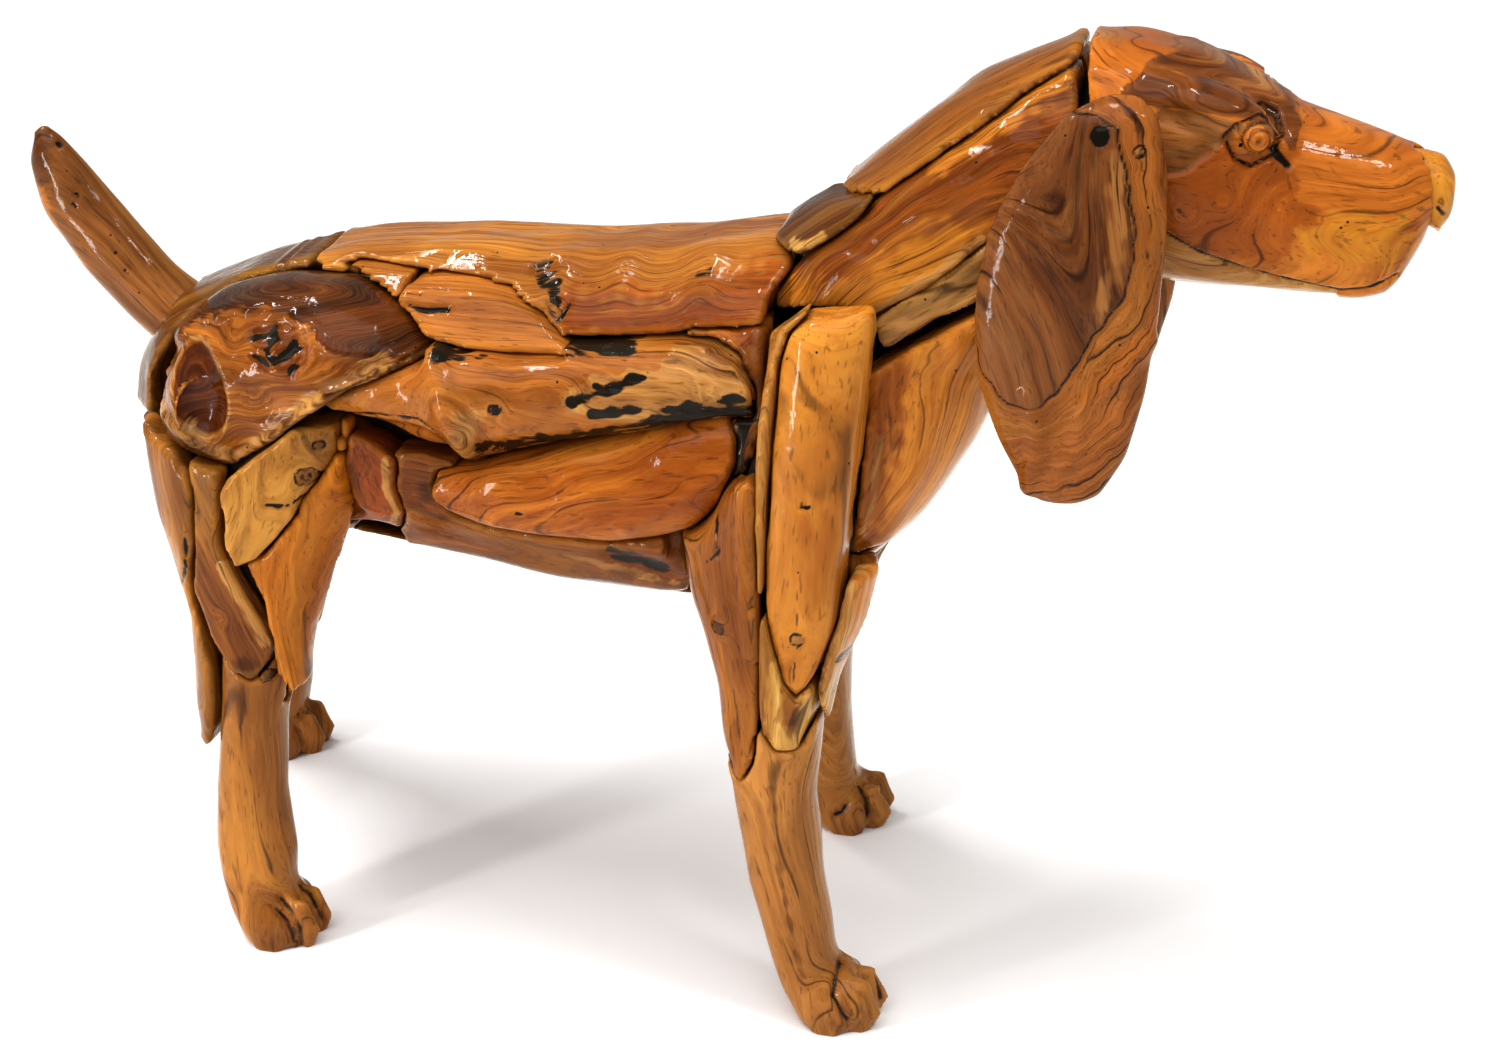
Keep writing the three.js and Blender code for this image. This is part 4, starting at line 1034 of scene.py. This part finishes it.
for side in (RIGHT, LEFT):
    brow_share = bell(reach(head, brow, True, side) + 4, 11)
    if side == RIGHT:
        carve(head, brow_share, 3.0)
    paint(head, "brown", 1.4 * bell(reach(head, brow, True, side, 1) + 2, 7))
    temple_share = bell(reach(head, temple, True, side, 1) + 2, 5)
    carve(head, temple_share, -3.2)
    carve(head, temple_share * waves(points_of(head) * (0.25, 1, 1), 9, 31), 0.9)
    paint(head, "tan", temple_share)
    paint(head, "red", 0.9 * bell(reach(head, cheek, True, side, 4) + 2, 16))
    jaw_share = bell(reach(head, jaw, True, side) + 1, 4)
    carve(head, jaw_share, -2.6)
    paint(head, "pale", 0.9 * bell(reach(head, jaw, True, side, 3) + 3, 8))
    fissure(head, mouth, 3.6, 1.8, side, 0.75, 0.5)
    paint(head, "gold", 0.7 * bell(reach(head, lip, True, side, 6) + 2, 22))

    sunk = reach(head, socket, True, side)
    carve(head, bell(sunk + 1, 4), -3.0)
    fissure(head, socket + socket[:1], 3.4, 1.8, side, 0.75, 0)
    eye = reach(head, [eye_middle], side=side)
    carve(head, bell(eye - 3, 11), 4.2)
    paint(head, "gold", 0.45 * bell(eye, 13))
    for radius, width, depth in ((12.5, 3.4, 1.6), (7.0, 2.6, 1.0)):
        ring = bell(abs(eye - radius), width)
        carve(head, ring, -depth)
        paint(head, "cut", 0.55 * ring)
    paint(head, "brown", 0.9 * bell(eye, 5))
    paint(head, "cut", 0.5 * bell(eye, 4))
    fissure(head, [(461, 768), (468, 761), (473, 757)], 6.5, 3, side, 1.1)
    crease = [(470, 757), (477, 738), (490, 724), (512, 716), (540, 716), (562, 706)]
    fissure(head, crease, 2.6, 0.7, side, 0.45)
    for i in range(3):
        line = [(x + 8 + 5 * i, z + 9 + 8 * i) for x, z in crease[1:]]
        paint(head, "cut", 0.35 * bell(reach(head, line, side=side, wobble=1.5), 2.4))
    knot = reach(head, [(398, 726), (405, 719)], side=side, wobble=1.5)
    paint(head, "brown", bell(knot, 9))
    paint(head, "cut", 0.6 * bell(knot, 4))
crown = reach(head, [(315, MIDDLE, 838), (400, MIDDLE, 830), (455, MIDDLE, 800)])
paint(head, "tan", 0.45 * bell(crown, 60))
head_knots = [(402, 722, 12), (*eye_middle, 12), (432, 732, 14)]
grow(head, head_finish, (1, 0, -0.16), (420, MIDDLE, 700), head_knots, 6, 62)

# Nose
# A wedge of golden wood, carved by itself with two shallow nostrils and inset in the end of the
# muzzle.
nose_finish = lacquered_teak("nose_teak", (0.76, 0.36, 0.060), (0.44, 0.165, 0.024), lines=0.5, gloss=0.06)
nose = sanded("nose", 0.0016, 5, 30, 0.5, 0.2, 171)
for side in (RIGHT, LEFT):
    nostril = reach(nose, [(584, 722), (590, 716)], side=side)
    carve(nose, bell(nostril, 6), -1.6)
    paint(nose, "cut", 0.7 * bell(nostril, 4))
grow(nose, nose_finish, (0.3, 0, 1), wander=3, seed=63)

# Ears
# Each ear is a thick hanging slab, screwed on under a black plug. An oval of purple-brown
# heartwood with steep streaks stands a little proud of the orange-brown wood round it.
ear_finish = lacquered_teak(
    "ear_teak",
    (0.43, 0.148, 0.036),
    (0.19, 0.056, 0.012),
    [
        ("heartwood", (0.24, 0.098, 0.040), (0.050, 0.016, 0.008)),
        ("pale", (0.42, 0.20, 0.08), (0.24, 0.10, 0.035)),
        ("darker_top", (0.110, 0.042, 0.020), (0.030, 0.010, 0.005)),
    ],
    lines=0.95,
    rough=1.0,
)
oval = [(262, 706), (255, 667), (255, 633), (262, 602), (284, 580), (308, 582), (323, 598), (335, 622)]
oval += [(346, 643), (361, 664), (370, 700), (368, 723), (362, 744), (358, 768), (350, 790), (335, 799)]
oval += [(315, 797), (292, 778), (276, 746)]
for seed, (node, side) in enumerate((("ear_right", RIGHT), ("ear_left", LEFT))):
    ear = sanded(node, FINE_FACES, 5, 60, 1.0, 0.5, 181 + seed)
    border = reach(ear, oval, True, side, 1.5)
    carve(ear, bell(border, 3.5), 1.6)
    paint(ear, "heartwood", bell(border + 1, 3))
    seam = bell(abs(border - 1), 2.6)
    carve(ear, seam, -1.4)
    paint(ear, "cut", 0.72 * seam)
    front = reach(ear, [(352, 770), (358, 715), (350, 665)], side=side, wobble=4)
    paint(ear, "pale", 0.75 * bell(front, 14))
    # The top of the ear is painted darker.
    paint(ear, "darker_top", 0.6 * bell(reach(ear, [(330, 790), (300, 745)], side=side, wobble=6), 46))
    keel = [(300, 590), (308, 560), (308, 539), (300, 505)]
    carve(ear, bell(reach(ear, keel, side=side), 12), 4)
    far_keel = [(385, 634), (367, 610), (343, 585), (337, 548), (318, 512)]
    carve(ear, bell(reach(ear, far_keel, side=side), 12), 3.6)
    paint(ear, "cut", 0.35 * bell(reach(ear, far_keel[:3], side=side, wobble=1), 2.6))
    fissure(ear, [(363, 799), (370, 769), (381, 727), (380, 700)], 2.8, 1.0, side, 0.5)
    plug(ear, 339, 786, 6.5, "cut", side)
    plug(ear, 368, 776, 4, "pale", side)
    grow(ear, ear_finish, (0.30, 0, -1), wander=5, seed=64 + seed, side=side)
    rooted = np.empty(3 * len(border), np.float32)
    ear.data.attributes["grain"].data.foreach_get("vector", rooted)
    rooted = rooted.reshape(-1, 3)
    outside = np.clip(border / 6, 0, 1) * (border < FAR_OFF)
    rings = (np.minimum(border, 120) + 6 * waves(points_of(ear), 60, 33)) / 1000
    rooted[:, 1] = rooted[:, 1] * (1 - outside) + rings * outside
    ear.data.attributes["grain"].data.foreach_set("vector", rooted.ravel())
